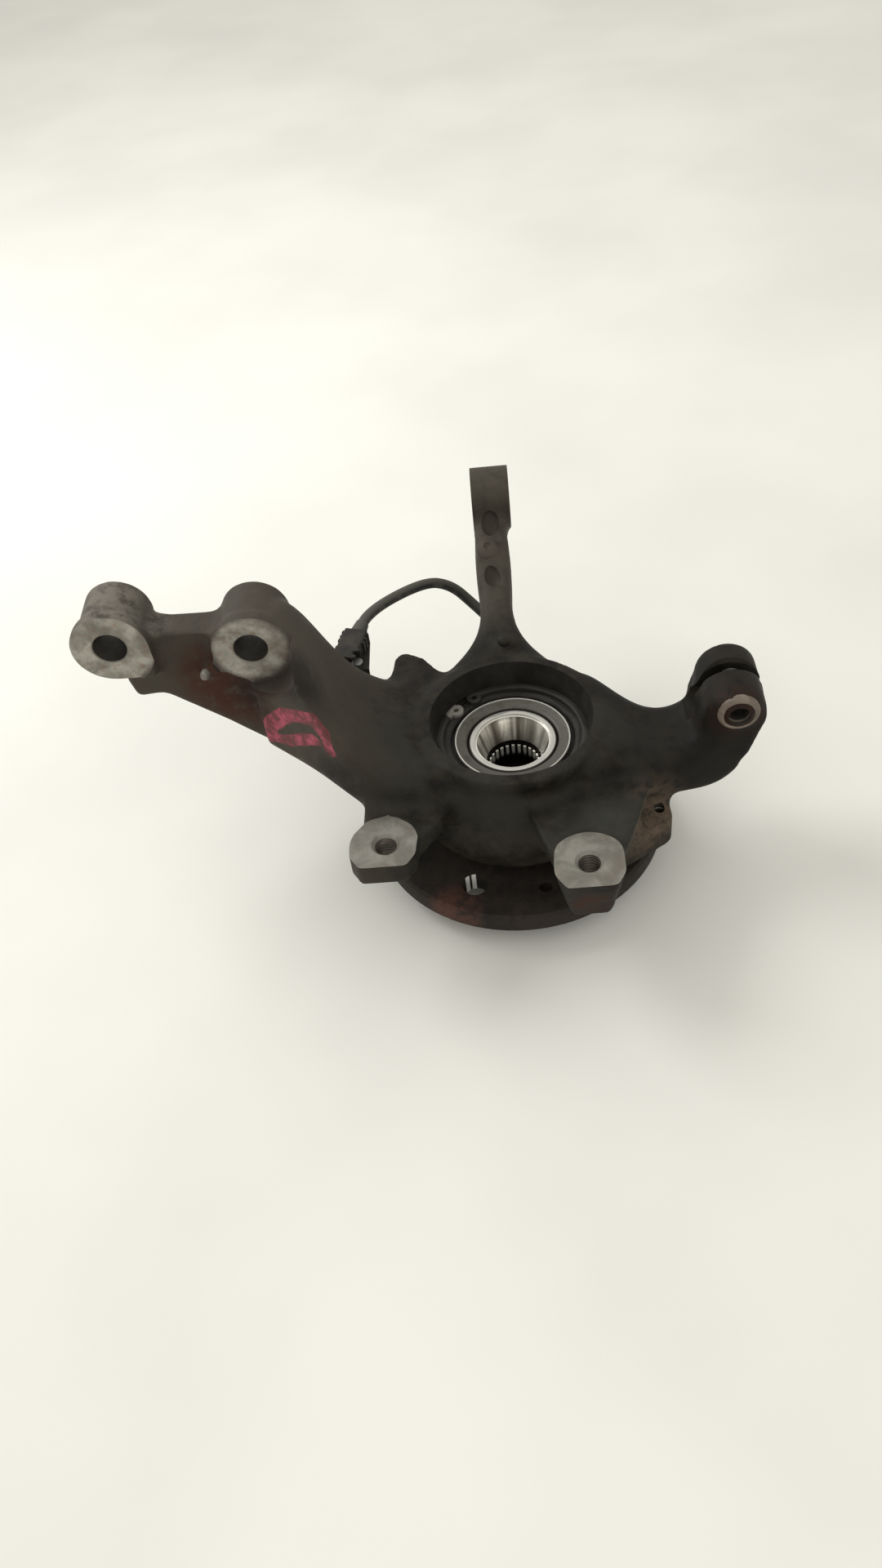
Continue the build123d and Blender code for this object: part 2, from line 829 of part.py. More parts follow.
ball_radius = ball_share * (bearing_outer_radius - bearing_bore_radius)
ball_pitch_radius = across_section(ball_pitch_share)
inner_land_radius = across_section(inner_land_share)
inner_middle_radius = across_section(inner_middle_share)
inner_shoulder_radius = across_section(inner_shoulder_share)
outer_shoulder_radius = across_section(outer_shoulder_share)
seal_bore_radius = across_section(seal_bore_share)
seal_lip_radius = across_section(seal_lip_share)
flinger_outer_radius = across_section(flinger_outer_share)
cage_inner_radius = across_section(cage_inner_share)
cage_outer_radius = across_section(cage_outer_share)
cage_backing = ball_radius + cage_land


def ball_track(row_z):
    """Return the ring of space that one row of balls runs in, with its clearance."""
    with BuildPart() as track:
        with BuildSketch(Plane.XZ):
            with Locations((ball_pitch_radius, row_z)):
                Circle(ball_radius + running_clearance)
        revolve(axis=Axis.Z)
    return track.part


outboard_row_z = bearing_middle - ball_row_spacing / 2

with BuildPart() as bearing_outer_ring:
    add(
        turned(
            [
                (seal_bore_radius, bearing_low),
                (bearing_outer_radius - 1, bearing_low),
                (bearing_outer_radius, bearing_low + 1),
                (bearing_outer_radius, bearing_high - 1),
                (bearing_outer_radius - 1, bearing_high),
                (seal_bore_radius, bearing_high),
                (seal_bore_radius, seal_floor),
                (outer_shoulder_radius, seal_floor),
                (outer_shoulder_radius, bearing_low + seal_depth),
                (seal_bore_radius, bearing_low + seal_depth),
            ]
        )
    )
    add(ball_track(inboard_row_z), mode=Mode.SUBTRACT)
    add(ball_track(outboard_row_z), mode=Mode.SUBTRACT)

bearing_outer_ring.part.label = "bearing_outer_ring"
export_step(bearing_outer_ring.part, "parts/bearing_outer_ring.step")

with BuildPart() as bearing_inner_ring_inboard:
    add(
        turned(
            [
                (bearing_bore_radius, bearing_middle),
                (inner_middle_radius, bearing_middle),
                (inner_middle_radius, inboard_row_z),
                (inner_shoulder_radius, inboard_row_z),
                (inner_shoulder_radius, seal_floor),
                (inner_land_radius, seal_floor),
                (inner_land_radius, inner_ring_high - 1),
                (inner_land_radius - 1, inner_ring_high),
                (bearing_bore_radius, inner_ring_high),
            ]
        )
    )
    add(ball_track(inboard_row_z), mode=Mode.SUBTRACT)

bearing_inner_ring_inboard.part.label = "bearing_inner_ring_inboard"
export_step(bearing_inner_ring_inboard.part, "parts/bearing_inner_ring_inboard.step")

with BuildPart() as bearing_inner_ring_outboard:
    add(
        turned(
            [
                (bearing_bore_radius, bearing_middle),
                (bearing_bore_radius, bearing_low),
                (inner_land_radius - 1, bearing_low),
                (inner_land_radius, bearing_low + 1),
                (inner_land_radius, bearing_low + seal_depth),
                (inner_shoulder_radius, bearing_low + seal_depth),
                (inner_shoulder_radius, outboard_row_z),
                (inner_middle_radius, outboard_row_z),
                (inner_middle_radius, bearing_middle),
            ]
        )
    )
    add(ball_track(outboard_row_z), mode=Mode.SUBTRACT)

bearing_inner_ring_outboard.part.label = "bearing_inner_ring_outboard"
export_step(bearing_inner_ring_outboard.part, "parts/bearing_inner_ring_outboard.step")

with BuildPart() as bearing_balls_inboard:
    with Locations((0, 0, inboard_row_z)):
        with PolarLocations(ball_pitch_radius, balls_per_row):
            Sphere(ball_radius)

bearing_balls_inboard.part.label = "bearing_balls_inboard"
export_step(bearing_balls_inboard.part, "parts/bearing_balls_inboard.step")

with BuildPart() as bearing_balls_outboard:
    mirror(bearing_balls_inboard.part, about=row_planes)

bearing_balls_outboard.part.label = "bearing_balls_outboard"
export_step(bearing_balls_outboard.part, "parts/bearing_balls_outboard.step")

with BuildPart() as bearing_cage_inboard:
    with BuildSketch(Plane.XY.offset(inboard_row_z - cage_backing)):
        Circle(cage_outer_radius)
        Circle(cage_inner_radius, mode=Mode.SUBTRACT)
    extrude(amount=cage_backing + cage_finger)
    with Locations((0, 0, inboard_row_z)):
        with PolarLocations(ball_pitch_radius, balls_per_row):
            Sphere(ball_radius + cage_pocket_clearance, mode=Mode.SUBTRACT)

bearing_cage_inboard.part.label = "bearing_cage_inboard"
export_step(bearing_cage_inboard.part, "parts/bearing_cage_inboard.step")

with BuildPart() as bearing_cage_outboard:
    mirror(bearing_cage_inboard.part, about=row_planes)

bearing_cage_outboard.part.label = "bearing_cage_outboard"
export_step(bearing_cage_outboard.part, "parts/bearing_cage_outboard.step")

# Flinger: a sleeve on the inner ring's land, a flat collar over the seal and a turned-up rim
flinger_top = bearing_high - seal_sheet
flinger_low = flinger_top - seal_sheet

with BuildPart() as flinger_inboard:
    add(
        turned(
            [
                (inner_land_radius, seal_floor + free_gap),
                (inner_land_radius + seal_sheet, seal_floor + free_gap),
                (inner_land_radius + seal_sheet, flinger_low - seal_sheet),
                (inner_land_radius + 2 * seal_sheet, flinger_low),
                (flinger_outer_radius, flinger_low),
                (flinger_outer_radius, flinger_top + flinger_lip_height),
                (flinger_outer_radius - seal_sheet, flinger_top + flinger_lip_height),
                (flinger_outer_radius - seal_sheet, flinger_top),
                (inner_land_radius + seal_sheet, flinger_top),
                (inner_land_radius, flinger_top - seal_sheet),
            ]
        )
    )

flinger_inboard.part.label = "flinger_inboard"
export_step(flinger_inboard.part, "parts/flinger_inboard.step")

with BuildPart() as flinger_outboard:
    mirror(flinger_inboard.part, about=row_planes)

flinger_outboard.part.label = "flinger_outboard"
export_step(flinger_outboard.part, "parts/flinger_outboard.step")

# Seal: a sleeve pressed in the outer ring, a plate above the balls and a lip towards the flinger
seal_plate_low = max(seal_floor, inboard_row_z + ball_radius + free_gap)
seal_plate_top = seal_plate_low + seal_plate
lip_root_radius = between(seal_lip_radius, flinger_outer_radius, 0.4)

with BuildPart() as bearing_seal_inboard:
    add(
        turned(
            [
                (seal_lip_radius, seal_plate_low),
                (seal_bore_radius, seal_plate_low),
                (seal_bore_radius, bearing_high - 0.4),
                (seal_bore_radius - seal_sheet, bearing_high - 0.4),
                (seal_bore_radius - seal_sheet, seal_plate_top),
                (lip_root_radius + 0.8, seal_plate_top),
                (lip_root_radius + 1.2, flinger_low - free_gap),
                (lip_root_radius + 0.6, flinger_low - free_gap),
                (lip_root_radius - 0.4, seal_plate_top),
                (seal_lip_radius, seal_plate_top),
            ]
        )
    )

bearing_seal_inboard.part.label = "bearing_seal_inboard"
export_step(bearing_seal_inboard.part, "parts/bearing_seal_inboard.step")

with BuildPart() as bearing_seal_outboard:
    mirror(bearing_seal_inboard.part, about=row_planes)

bearing_seal_outboard.part.label = "bearing_seal_outboard"
export_step(bearing_seal_outboard.part, "parts/bearing_seal_outboard.step")

# Circlip: a sprung band whose two ends carry ears with a hole for the pliers
circlip_inner_radius = circlip_outer_radius - circlip_band
ear_centre_radius = circlip_inner_radius + 0.3
ear_angles = (circlip_gap_azimuth - circlip_ear_spread, circlip_gap_azimuth + circlip_ear_spread)

with BuildPart() as bearing_circlip:
    with BuildSketch(Plane.XY.offset(bearing_high)):
        Circle(circlip_outer_radius)
        Circle(circlip_inner_radius, mode=Mode.SUBTRACT)
        with BuildLine():
            Polyline(
                (0, 0),
                (
                    2 * recess_radius * cos(radians(ear_angles[0])),
                    2 * recess_radius * sin(radians(ear_angles[0])),
                ),
                (
                    2 * recess_radius * cos(radians(ear_angles[1])),
                    2 * recess_radius * sin(radians(ear_angles[1])),
                ),
                close=True,
            )
        make_face(mode=Mode.SUBTRACT)
        for angle in ear_angles:
            with PolarLocations(ear_centre_radius, 1, start_angle=angle):
                Circle(circlip_ear_radius)
        for angle in ear_angles:
            with PolarLocations(ear_centre_radius, 1, start_angle=angle):
                Circle(circlip_hole_radius, mode=Mode.SUBTRACT)
    extrude(amount=circlip_thickness)

bearing_circlip.part.label = "bearing_circlip"
export_step(bearing_circlip.part, "parts/bearing_circlip.step")

# ---------------------------------------------------------------------------------------------
# Wheel speed sensor
# ---------------------------------------------------------------------------------------------

ear_top = sensor_nose_length + sensor_ear_thickness
o_ring_level = sensor_nose_length - 6
o_ring_ring_radius = sensor_nose_radius + sensor_bore_clearance - o_ring_radius
head_top = ear_top + sensor_head_length
exit_level = ear_top + 4
exit_y = (sensor_axis.origin + sensor_axis.z_dir * exit_level).Y
exit_z = (sensor_axis.origin + sensor_axis.z_dir * exit_level).Z

with BuildPart() as wheel_speed_sensor:
    with BuildSketch(sensor_axis):
        Circle(sensor_nose_radius)
    extrude(amount=sensor_nose_length)
    with BuildSketch(sensor_axis.offset(sensor_nose_length)):
        Circle(sensor_boss_radius)
        with Locations((sensor_ear_offset, 0)):
            Circle(sensor_ear_radius)
        make_hull()
    extrude(amount=sensor_ear_thickness)
    with BuildSketch(sensor_axis.offset(ear_top)):
        Circle(sensor_head_radius)
    extrude(amount=sensor_head_length)
    fillet(wheel_speed_sensor.faces().sort_by(sensor_line)[-1].edges(), 2.0)
    # Outlet for the lead, level with the ground plane of the vehicle
    with BuildSketch(Plane(origin=(sensor_x, exit_y, exit_z), x_dir=(1, 0, 0), z_dir=(0, 1, 0))):
        Circle(sensor_exit_radius)
    extrude(amount=sensor_exit_length)
    # Groove for the O-ring and seat for the bushing
    with BuildSketch(sensor_axis.offset(o_ring_level - o_ring_radius - 0.2)):
        Circle(sensor_nose_radius + 1)
        Circle(o_ring_ring_radius - o_ring_radius, mode=Mode.SUBTRACT)
    extrude(amount=2 * o_ring_radius + 0.4, mode=Mode.SUBTRACT)
    with BuildSketch(sensor_axis.offset(sensor_nose_length - 1)):
        with Locations((sensor_ear_offset, 0)):
            Circle(bushing_radius)
    extrude(amount=sensor_ear_thickness + 2, mode=Mode.SUBTRACT)

wheel_speed_sensor.part.label = "wheel_speed_sensor"
export_step(wheel_speed_sensor.part, "parts/wheel_speed_sensor.step")

with BuildPart() as sensor_o_ring:
    with BuildSketch(Plane(origin=(sensor_axis.offset(o_ring_level)).origin, x_dir=sensor_axis.x_dir,
                           z_dir=sensor_axis.y_dir)):
        with Locations((o_ring_ring_radius, 0)):
            Circle(o_ring_radius)
    revolve(axis=sensor_line)

sensor_o_ring.part.label = "sensor_o_ring"
export_step(sensor_o_ring.part, "parts/sensor_o_ring.step")

with BuildPart() as sensor_bushing:
    with BuildSketch(sensor_axis.offset(sensor_nose_length)):
        with Locations((sensor_ear_offset, 0)):
            Circle(bushing_radius)
            Circle(screw_shank_radius + free_gap, mode=Mode.SUBTRACT)
    extrude(amount=sensor_ear_thickness)

sensor_bushing.part.label = "sensor_bushing"
export_step(sensor_bushing.part, "parts/sensor_bushing.step")

with BuildPart() as sensor_screw:
    with BuildSketch(sensor_axis.offset(ear_top - screw_length)):
        with Locations((sensor_ear_offset, 0)):
            Circle(screw_shank_radius)
    extrude(amount=screw_length)
    with BuildSketch(sensor_axis.offset(ear_top)):
        with Locations((sensor_ear_offset, 0)):
            RegularPolygon(screw_head_radius, 6)
    extrude(amount=screw_head_height)

sensor_screw.part.label = "sensor_screw"
export_step(sensor_screw.part, "parts/sensor_screw.step")

boot_start_y = exit_y + sensor_exit_length

with BuildPart() as sensor_boot:
    with BuildSketch(Plane(origin=(sensor_x, boot_start_y, exit_z), x_dir=(1, 0, 0), z_dir=(0, 1, 0))):
        Circle(sensor_exit_radius)
    with BuildSketch(
        Plane(origin=(sensor_x, boot_start_y + boot_length, exit_z), x_dir=(1, 0, 0), z_dir=(0, 1, 0))
    ):
        Circle(cable_radius + boot_lip)
    loft()

sensor_boot.part.label = "sensor_boot"
export_step(sensor_boot.part, "parts/sensor_boot.step")

# ---------------------------------------------------------------------------------------------
# Sensor lead, its connector and the bracket on the strut arm
# ---------------------------------------------------------------------------------------------

# The connector's own axes: +Z runs out of it towards the lead
connector_axis = Plane(
    origin=(connector_x, connector_y, connector_z),
    x_dir=(cos(radians(connector_angle)), -sin(radians(connector_angle)), 0),
    z_dir=(sin(radians(connector_angle)), cos(radians(connector_angle)), 0),
)
rivet_place = connector_axis.from_local_coords(
    Vector(rivet_offset, -connector_height / 2, -connector_length / 2 - connector_foot / 2)
)
lead_end = connector_axis.from_local_coords(Vector(0, 0, connector_length / 2 + lead_boot_length))

with BuildPart() as lead_connector:
    with BuildSketch(connector_axis.offset(-connector_length / 2)):
        RectangleRounded(connector_width, connector_height, 1.2)
    extrude(amount=connector_length)
    # Toothed grip along both sides
    for tooth in range(3):
        with BuildSketch(connector_axis.offset(connector_length / 2 - 2.6 - 3.2 * tooth)):
            RectangleRounded(connector_width + 2.0, connector_height - 1.5, 0.8)
        extrude(amount=1.4)

    # Foot that the rivet passes through
    with BuildSketch(connector_axis.offset(-connector_length / 2 - connector_foot)):
        with Locations((0, -connector_height / 2 + bracket_thickness / 2)):
            Rectangle(connector_width, bracket_thickness)
    extrude(amount=connector_foot)
    with Locations(rivet_place):
        Cylinder(rivet_radius, 3 * bracket_thickness, mode=Mode.SUBTRACT)

lead_connector.part.label = "lead_connector"
export_step(lead_connector.part, "parts/lead_connector.step")

with BuildPart() as lead_boot:
    with BuildSketch(connector_axis.offset(connector_length / 2)):
        Circle(cable_radius + boot_wall)
    with BuildSketch(connector_axis.offset(connector_length / 2 + lead_boot_length)):
        Circle(cable_radius + boot_lip)
    loft()

lead_boot.part.label = "lead_boot"
export_step(lead_boot.part, "parts/lead_boot.step")

cable_points = [
    Vector(sensor_x, boot_start_y + boot_length, exit_z),
    Vector(sensor_x, boot_start_y + boot_length + 12, exit_z),
    Vector(-16, 112, 66),
    Vector(-27, 116, 77),
    Vector(-41, 112.5, 83.5),
    connector_axis.from_local_coords(Vector(0, 0, connector_length / 2 + lead_boot_length + 11)),
    lead_end,
]
cable_radii = []
for before, corner, after in zip(cable_points, cable_points[1:], cable_points[2:]):
    turn = (corner - before).get_angle(after - corner)
    shorter_run = min((corner - before).length, (after - corner).length)
    cable_radii.append(0.45 * shorter_run / tan(radians(turn / 2)))
print("cable bend radii", [round(radius, 1) for radius in cable_radii])

with BuildPart() as sensor_cable:
    with BuildLine() as cable_route:
        FilletPolyline(*cable_points, radius=cable_radii)
    with BuildSketch(Plane(origin=cable_route.line @ 0, z_dir=cable_route.line % 0)):
        Circle(cable_radius)
    sweep()
cable_length = sum(edge.length for edge in cable_route.line.edges())
cable_volume_share = sensor_cable.part.volume / (pi * cable_radius**2 * cable_length)
print("cable length", round(cable_length, 1), "volume against section x length", round(cable_volume_share, 4))

sensor_cable.part.label = "sensor_cable"
export_step(sensor_cable.part, "parts/sensor_cable.step")

# Bracket: a plate on the back of the strut arm and a shelf under the connector
arm_back_y = strut_root["back"]
shelf_end_y = connector_y + connector_length / 2
shelf_top = connector_z - connector_height / 2
bracket_screw_z = shelf_top - bracket_drop / 2

with BuildPart() as cable_bracket:
    with BuildSketch(Plane.XZ.offset(-arm_back_y)):
        with Locations((connector_x, shelf_top - bracket_drop / 2)):
            Rectangle(bracket_width, bracket_drop)
        with Locations((connector_x, bracket_screw_z)):
            Circle(screw_shank_radius, mode=Mode.SUBTRACT)
    extrude(amount=-bracket_thickness)
    with BuildSketch(Plane.XY.offset(shelf_top)):
        with Locations((connector_x, (arm_back_y + shelf_end_y) / 2)):
            Rectangle(bracket_width, shelf_end_y - arm_back_y)
        with Locations((rivet_place.X, rivet_place.Y)):
            Circle(rivet_radius, mode=Mode.SUBTRACT)
    extrude(amount=-bracket_thickness)

cable_bracket.part.label = "cable_bracket"
export_step(cable_bracket.part, "parts/cable_bracket.step")

with BuildPart() as bracket_screw:
    with BuildSketch(Plane.XZ.offset(-arm_back_y - bracket_thickness)):
        with Locations((connector_x, bracket_screw_z)):
            Circle(screw_shank_radius)
    extrude(amount=bracket_screw_length)
    with BuildSketch(Plane.XZ.offset(-arm_back_y - bracket_thickness)):
        with Locations((connector_x, bracket_screw_z)):
            RegularPolygon(screw_head_radius, 6)
    extrude(amount=-screw_head_height)

bracket_screw.part.label = "bracket_screw"
export_step(bracket_screw.part, "parts/bracket_screw.step")

with BuildPart() as connector_rivet:
    with BuildSketch(Plane.XY.offset(shelf_top - bracket_thickness)):
        with Locations((rivet_place.X, rivet_place.Y)):
            Circle(rivet_radius)
    extrude(amount=2 * bracket_thickness)
    with BuildSketch(Plane.XY.offset(shelf_top + bracket_thickness)):
        with Locations((rivet_place.X, rivet_place.Y)):
            Circle(rivet_head_radius)
    extrude(amount=bracket_thickness)

connector_rivet.part.label = "connector_rivet"
export_step(connector_rivet.part, "parts/connector_rivet.step")
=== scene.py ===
"""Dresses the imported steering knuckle: casting, machined faces, bearing, sensor lead and studio.

Lengths are in metres, in the part's own frame: the hub axis is Z with the wheel side down, the
strut lies towards -X, the ball joint towards +X and the tie rod towards +Y.
"""

import json
import logging
import math
from collections.abc import Iterable, Sequence
from dataclasses import dataclass, field
from enum import Enum

import bpy
from mathutils import Matrix, Vector


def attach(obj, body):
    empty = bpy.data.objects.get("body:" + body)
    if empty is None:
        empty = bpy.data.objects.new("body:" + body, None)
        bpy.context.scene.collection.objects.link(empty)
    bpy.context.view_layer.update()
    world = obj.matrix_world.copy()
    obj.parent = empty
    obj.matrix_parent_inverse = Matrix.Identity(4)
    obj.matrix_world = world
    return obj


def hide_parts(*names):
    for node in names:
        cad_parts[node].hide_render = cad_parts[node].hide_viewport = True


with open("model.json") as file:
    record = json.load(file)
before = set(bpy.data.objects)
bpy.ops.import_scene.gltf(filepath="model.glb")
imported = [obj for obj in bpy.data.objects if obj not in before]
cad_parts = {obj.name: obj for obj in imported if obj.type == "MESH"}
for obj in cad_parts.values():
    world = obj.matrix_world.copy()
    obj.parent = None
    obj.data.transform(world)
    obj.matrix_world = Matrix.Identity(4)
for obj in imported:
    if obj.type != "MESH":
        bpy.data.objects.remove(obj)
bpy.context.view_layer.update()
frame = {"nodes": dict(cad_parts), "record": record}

log = logging.getLogger("knuckle")
MM = 0.001
FULL_TURN = 2 * math.pi
Colour = tuple[float, float, float]
Point = tuple[float, float, float]
Range = tuple[float, float]
Spot = tuple[float, float, float, float]
Socket = bpy.types.NodeSocket
Value = Socket | float


class Body(Enum):
    """Bodies that pieces ride on."""

    KNUCKLE = "knuckle"
    HUB = "hub"


class Axis(Enum):
    """Axes of the part's frame, by their place in a vector."""

    X = 0
    Y = 1
    Z = 2


class Direction(Enum):
    """Directions of the part's frame that machined faces look in."""

    FRONT = (0.0, -1.0, 0.0)
    BACK = (0.0, 1.0, 0.0)
    UP = (0.0, 0.0, 1.0)
    LEFT = (-1.0, 0.0, 0.0)
    RIGHT = (1.0, 0.0, 0.0)


# Materials
# ---------


class Flat(Enum):
    """Axes that stay when the coordinates are pressed flat."""

    FROM_FRONT = (1.0, 0.0, 1.0)
    FROM_ABOVE = (1.0, 1.0, 0.0)


class Shade:
    """One procedural material under construction, on Object coordinates."""

    def __init__(self, name: str) -> None:
        """Start a material with an empty Principled shader.

        Args:
            name: the material's name.
        """
        self.material = bpy.data.materials.new(name)
        self.material.use_nodes = True
        self.tree = self.material.node_tree
        self.shader = self.tree.nodes["Principled BSDF"]
        self.place = self.tree.nodes.new("ShaderNodeTexCoord").outputs["Object"]

    def _join(self, value: object, socket: Socket) -> None:
        """Link a socket to an input, or write a plain value into it.

        Args:
            value: a socket, number, vector or colour.
            socket: the input that takes it.
        """
        if isinstance(value, bpy.types.NodeSocket):
            self.tree.links.new(value, socket)
        elif isinstance(value, tuple) and len(value) == 3 and socket.type == "RGBA":
            socket.default_value = (*value, 1.0)
        else:
            socket.default_value = value

    def _node(
        self, kind: str, output: str | int, inputs: dict[str | int, object], **options: str
    ) -> Socket:
        """Add one node.

        Args:
            kind: the node's type, without its ShaderNode prefix.
            output: name or number of the output to return.
            inputs: sockets and plain values by the name or number of the input.
            options: the node's own settings.

        Returns:
            The output socket.
        """
        node = self.tree.nodes.new(f"ShaderNode{kind}")
        for option, setting in options.items():
            setattr(node, option, setting)
        for key, value in inputs.items():
            self._join(value, node.inputs[key])
        return node.outputs[output]

    def stretched(self, scale: Sequence[float]) -> Socket:
        """Return the coordinates scaled by axis, to draw a pattern out along one of them."""
        return self._node("Mapping", "Vector", {"Scale": scale, "Vector": self.place})

    def noise(
        self,
        grain: float,
        detail: float = 4.0,
        rough: float = 0.6,
        at: Socket | None = None,
        warp: float = 0.0,
    ) -> Socket:
        """Return a noise value.

        Args:
            grain: size of the pattern's largest features in metres.
            detail: octaves of finer noise.
            rough: strength of the finer octaves.
            at: coordinates to use in place of the plain ones.
            warp: distortion of the pattern.

        Returns:
            The noise socket, from 0 to 1.
        """
        pattern = {"Scale": 1.0 / grain, "Detail": detail, "Roughness": rough, "Distortion": warp}
        return self._node("TexNoise", "Fac", {"Vector": at or self.place, **pattern})

    def spots(self, size: float) -> Socket:
        """Return the distance to scattered points, for pits of about the given size."""
        return self._node("TexVoronoi", "Distance", {"Vector": self.place, "Scale": 1.0 / size})

    def ramp(self, value: Value, low: float, high: float, flip: bool = False) -> Socket:
        """Spread a value smoothly between two limits.

        Most limits in the finishes are noise values, which run from 0 to 1.

        Args:
            value: the value to spread.
            low: the limit where the result is 0.
            high: the limit where the result is 1.
            flip: turns the result round, to 1 at low and 0 at high.

        Returns:
            The spread value, from 0 to 1.
        """
        limits = {"Value": value, "From Min": low, "From Max": high}
        ends = {"To Min": float(flip), "To Max": float(not flip)}
        return self._node("MapRange", "Result", limits | ends, interpolation_type="SMOOTHSTEP")

    def maths(self, operation: str, a: Value, b: Value = 0.0) -> Socket:
        """Return one Math node's result for two sockets or numbers."""
        return self._node("Math", "Value", {0: a, 1: b}, operation=operation)

    def plus(self, a: Value, b: Value) -> Socket:
        """Return the sum of two sockets or numbers."""
        return self.maths("ADD", a, b)

    def times(self, first: Value, *others: Value) -> Value:
        """Return the product of sockets and numbers.

        Args:
            first: the first factor.
            others: the factors that follow, multiplied in from left to right.

        Returns:
            The product.
        """
        for other in others:
            first = self.maths("MULTIPLY", first, other)
        return first

    def vector(self, operation: str, a: object, b: object) -> Socket:
        """Return one Vector Math node's vector for two vectors."""
        return self._node("VectorMath", "Vector", {0: a, 1: b}, operation=operation)

    def length(self, a: Socket) -> Socket:
        """Return the length of a vector."""
        return self._node("VectorMath", "Value", {0: a}, operation="LENGTH")

    def pressed(self, flat: Flat) -> Socket:
        """Return the coordinates pressed flat along one axis."""
        return self.vector("MULTIPLY", self.place, flat.value)

    def gap(self, point: Point, at: Socket | None = None) -> Socket:
        """Return the distance to a point, by the plain coordinates or by those given."""
        return self.length(self.vector("SUBTRACT", at or self.place, point))

    def near(self, spot: Spot, core: float) -> Socket:
        """Return how near the surface is to a spot.

        Args:
            spot: the spot's centre and its reach.
            core: share of the reach that counts in full.

        Returns:
            1 within the core, fading to 0 at the reach.
        """
        x, y, z, reach = spot
        return self.ramp(self.gap((x, y, z)), core * reach, reach, flip=True)

    def part(self, axis: str) -> Socket:
        """Return one component, X, Y or Z, of the coordinates."""
        return self._node("SeparateXYZ", axis, {0: self.place})

    def facing(self, axis: str) -> Socket:
        """Return one component of the surface's own direction."""
        return self._node("SeparateXYZ", axis, {0: self._node("NewGeometry", "Normal", {})})

    def angle_bands(self, bands: float, detail: float) -> Socket:
        """Return a noise that changes only with the angle round the hub axis.

        Args:
            bands: how fast it changes, as features per radian.
            detail: octaves of finer bands.

        Returns:
            The noise socket, from 0 to 1.
        """
        angle = self.maths("ARCTAN2", self.part("Y"), self.part("X"))
        pattern = {"W": angle, "Scale": bands, "Detail": detail}
        return self._node("TexNoise", "Fac", pattern, noise_dimensions="1D")

    def stroke_gap(self, flat: Socket, start: Range, end: Range) -> Socket:
        """Measure the distance to a straight stroke.

        Args:
            flat: coordinates pressed flat from the front.
            start: the stroke's first (x, z) point.
            end: its other (x, z) point.

        Returns:
            The distance socket.
        """
        first = Vector((start[0], 0.0, start[1]))
        span = Vector((end[0], 0.0, end[1])) - first
        away = self.vector("SUBTRACT", flat, first)
        per_length = span / span.length_squared
        along = self._node("VectorMath", "Value", {0: away, 1: per_length}, operation="DOT_PRODUCT")
        share = self._node("Clamp", "Result", {"Value": along})
        foot = self._node("VectorMath", "Vector", {0: span, "Scale": share}, operation="SCALE")
        return self.length(self.vector("SUBTRACT", away, foot))

    def mix(self, share: Value, a: object, b: object) -> Socket:
        """Return the colour that lies the given share of the way from a to b."""
        first, second, result = 6, 7, 2
        return self._node("Mix", result, {0: share, first: a, second: b}, data_type="RGBA")

    def lay(self, base: object, colour: object, *shares: Value) -> Socket:
        """Return a colour covered by another, by the product of the shares."""
        return self.mix(self.times(*shares), base, colour)

    def bump(
        self, height: Socket, depth: float, strength: float = 1.0, under: Socket | None = None
    ) -> Socket:
        """Return a normal bent by a height value.

        Args:
            height: the height, from 0 to 1.
            depth: how far a height of 1 stands out, in metres.
            strength: share of the effect that is used.
            under: a normal from another bump below this one.

        Returns:
            The normal socket.
        """
        below = {} if under is None else {"Normal": under}
        relief = {"Strength": strength, "Distance": depth, "Height": height}
        return self._node("Bump", "Normal", relief | below)

    def finish(self, **values: object) -> bpy.types.Material:
        """Write the shader's inputs, each keyword an input's name with _ for a space.

        Args:
            values: sockets and plain values by input.

        Returns:
            The finished material.
        """
        for name, value in values.items():
            self._join(value, self.shader.inputs[name.replace("_", " ")])
        return self.material


@dataclass(frozen=True)
class PaintStroke:
    """One stroke of the painted mark, between two (x, z) points on the arm's front."""

    start: Range
    end: Range
    half_width: float


@dataclass(frozen=True)
class StainOrShade:
    """Patches of one colour on the cast skin, real stains and painted shade alike, which its
    mottling may break up.
    """

    colour: Colour
    share: float
    core: float
    spots: tuple[Spot, ...]
    breaks: Range | None = None

    def lay(self, shade: Shade, base: Socket, mottle: Socket) -> Socket:
        """Cover a colour with the patches.

        Args:
            shade: the material under construction.
            base: the colour below.
            mottle: the skin's mottling.

        Returns:
            The colour with the patches laid on.
        """
        for spot in self.spots:
            cover = shade.near(spot, self.core)
            if self.breaks:
                cover = shade.times(cover, shade.ramp(mottle, *self.breaks))
            base = shade.lay(base, self.colour, cover, self.share)
        return base


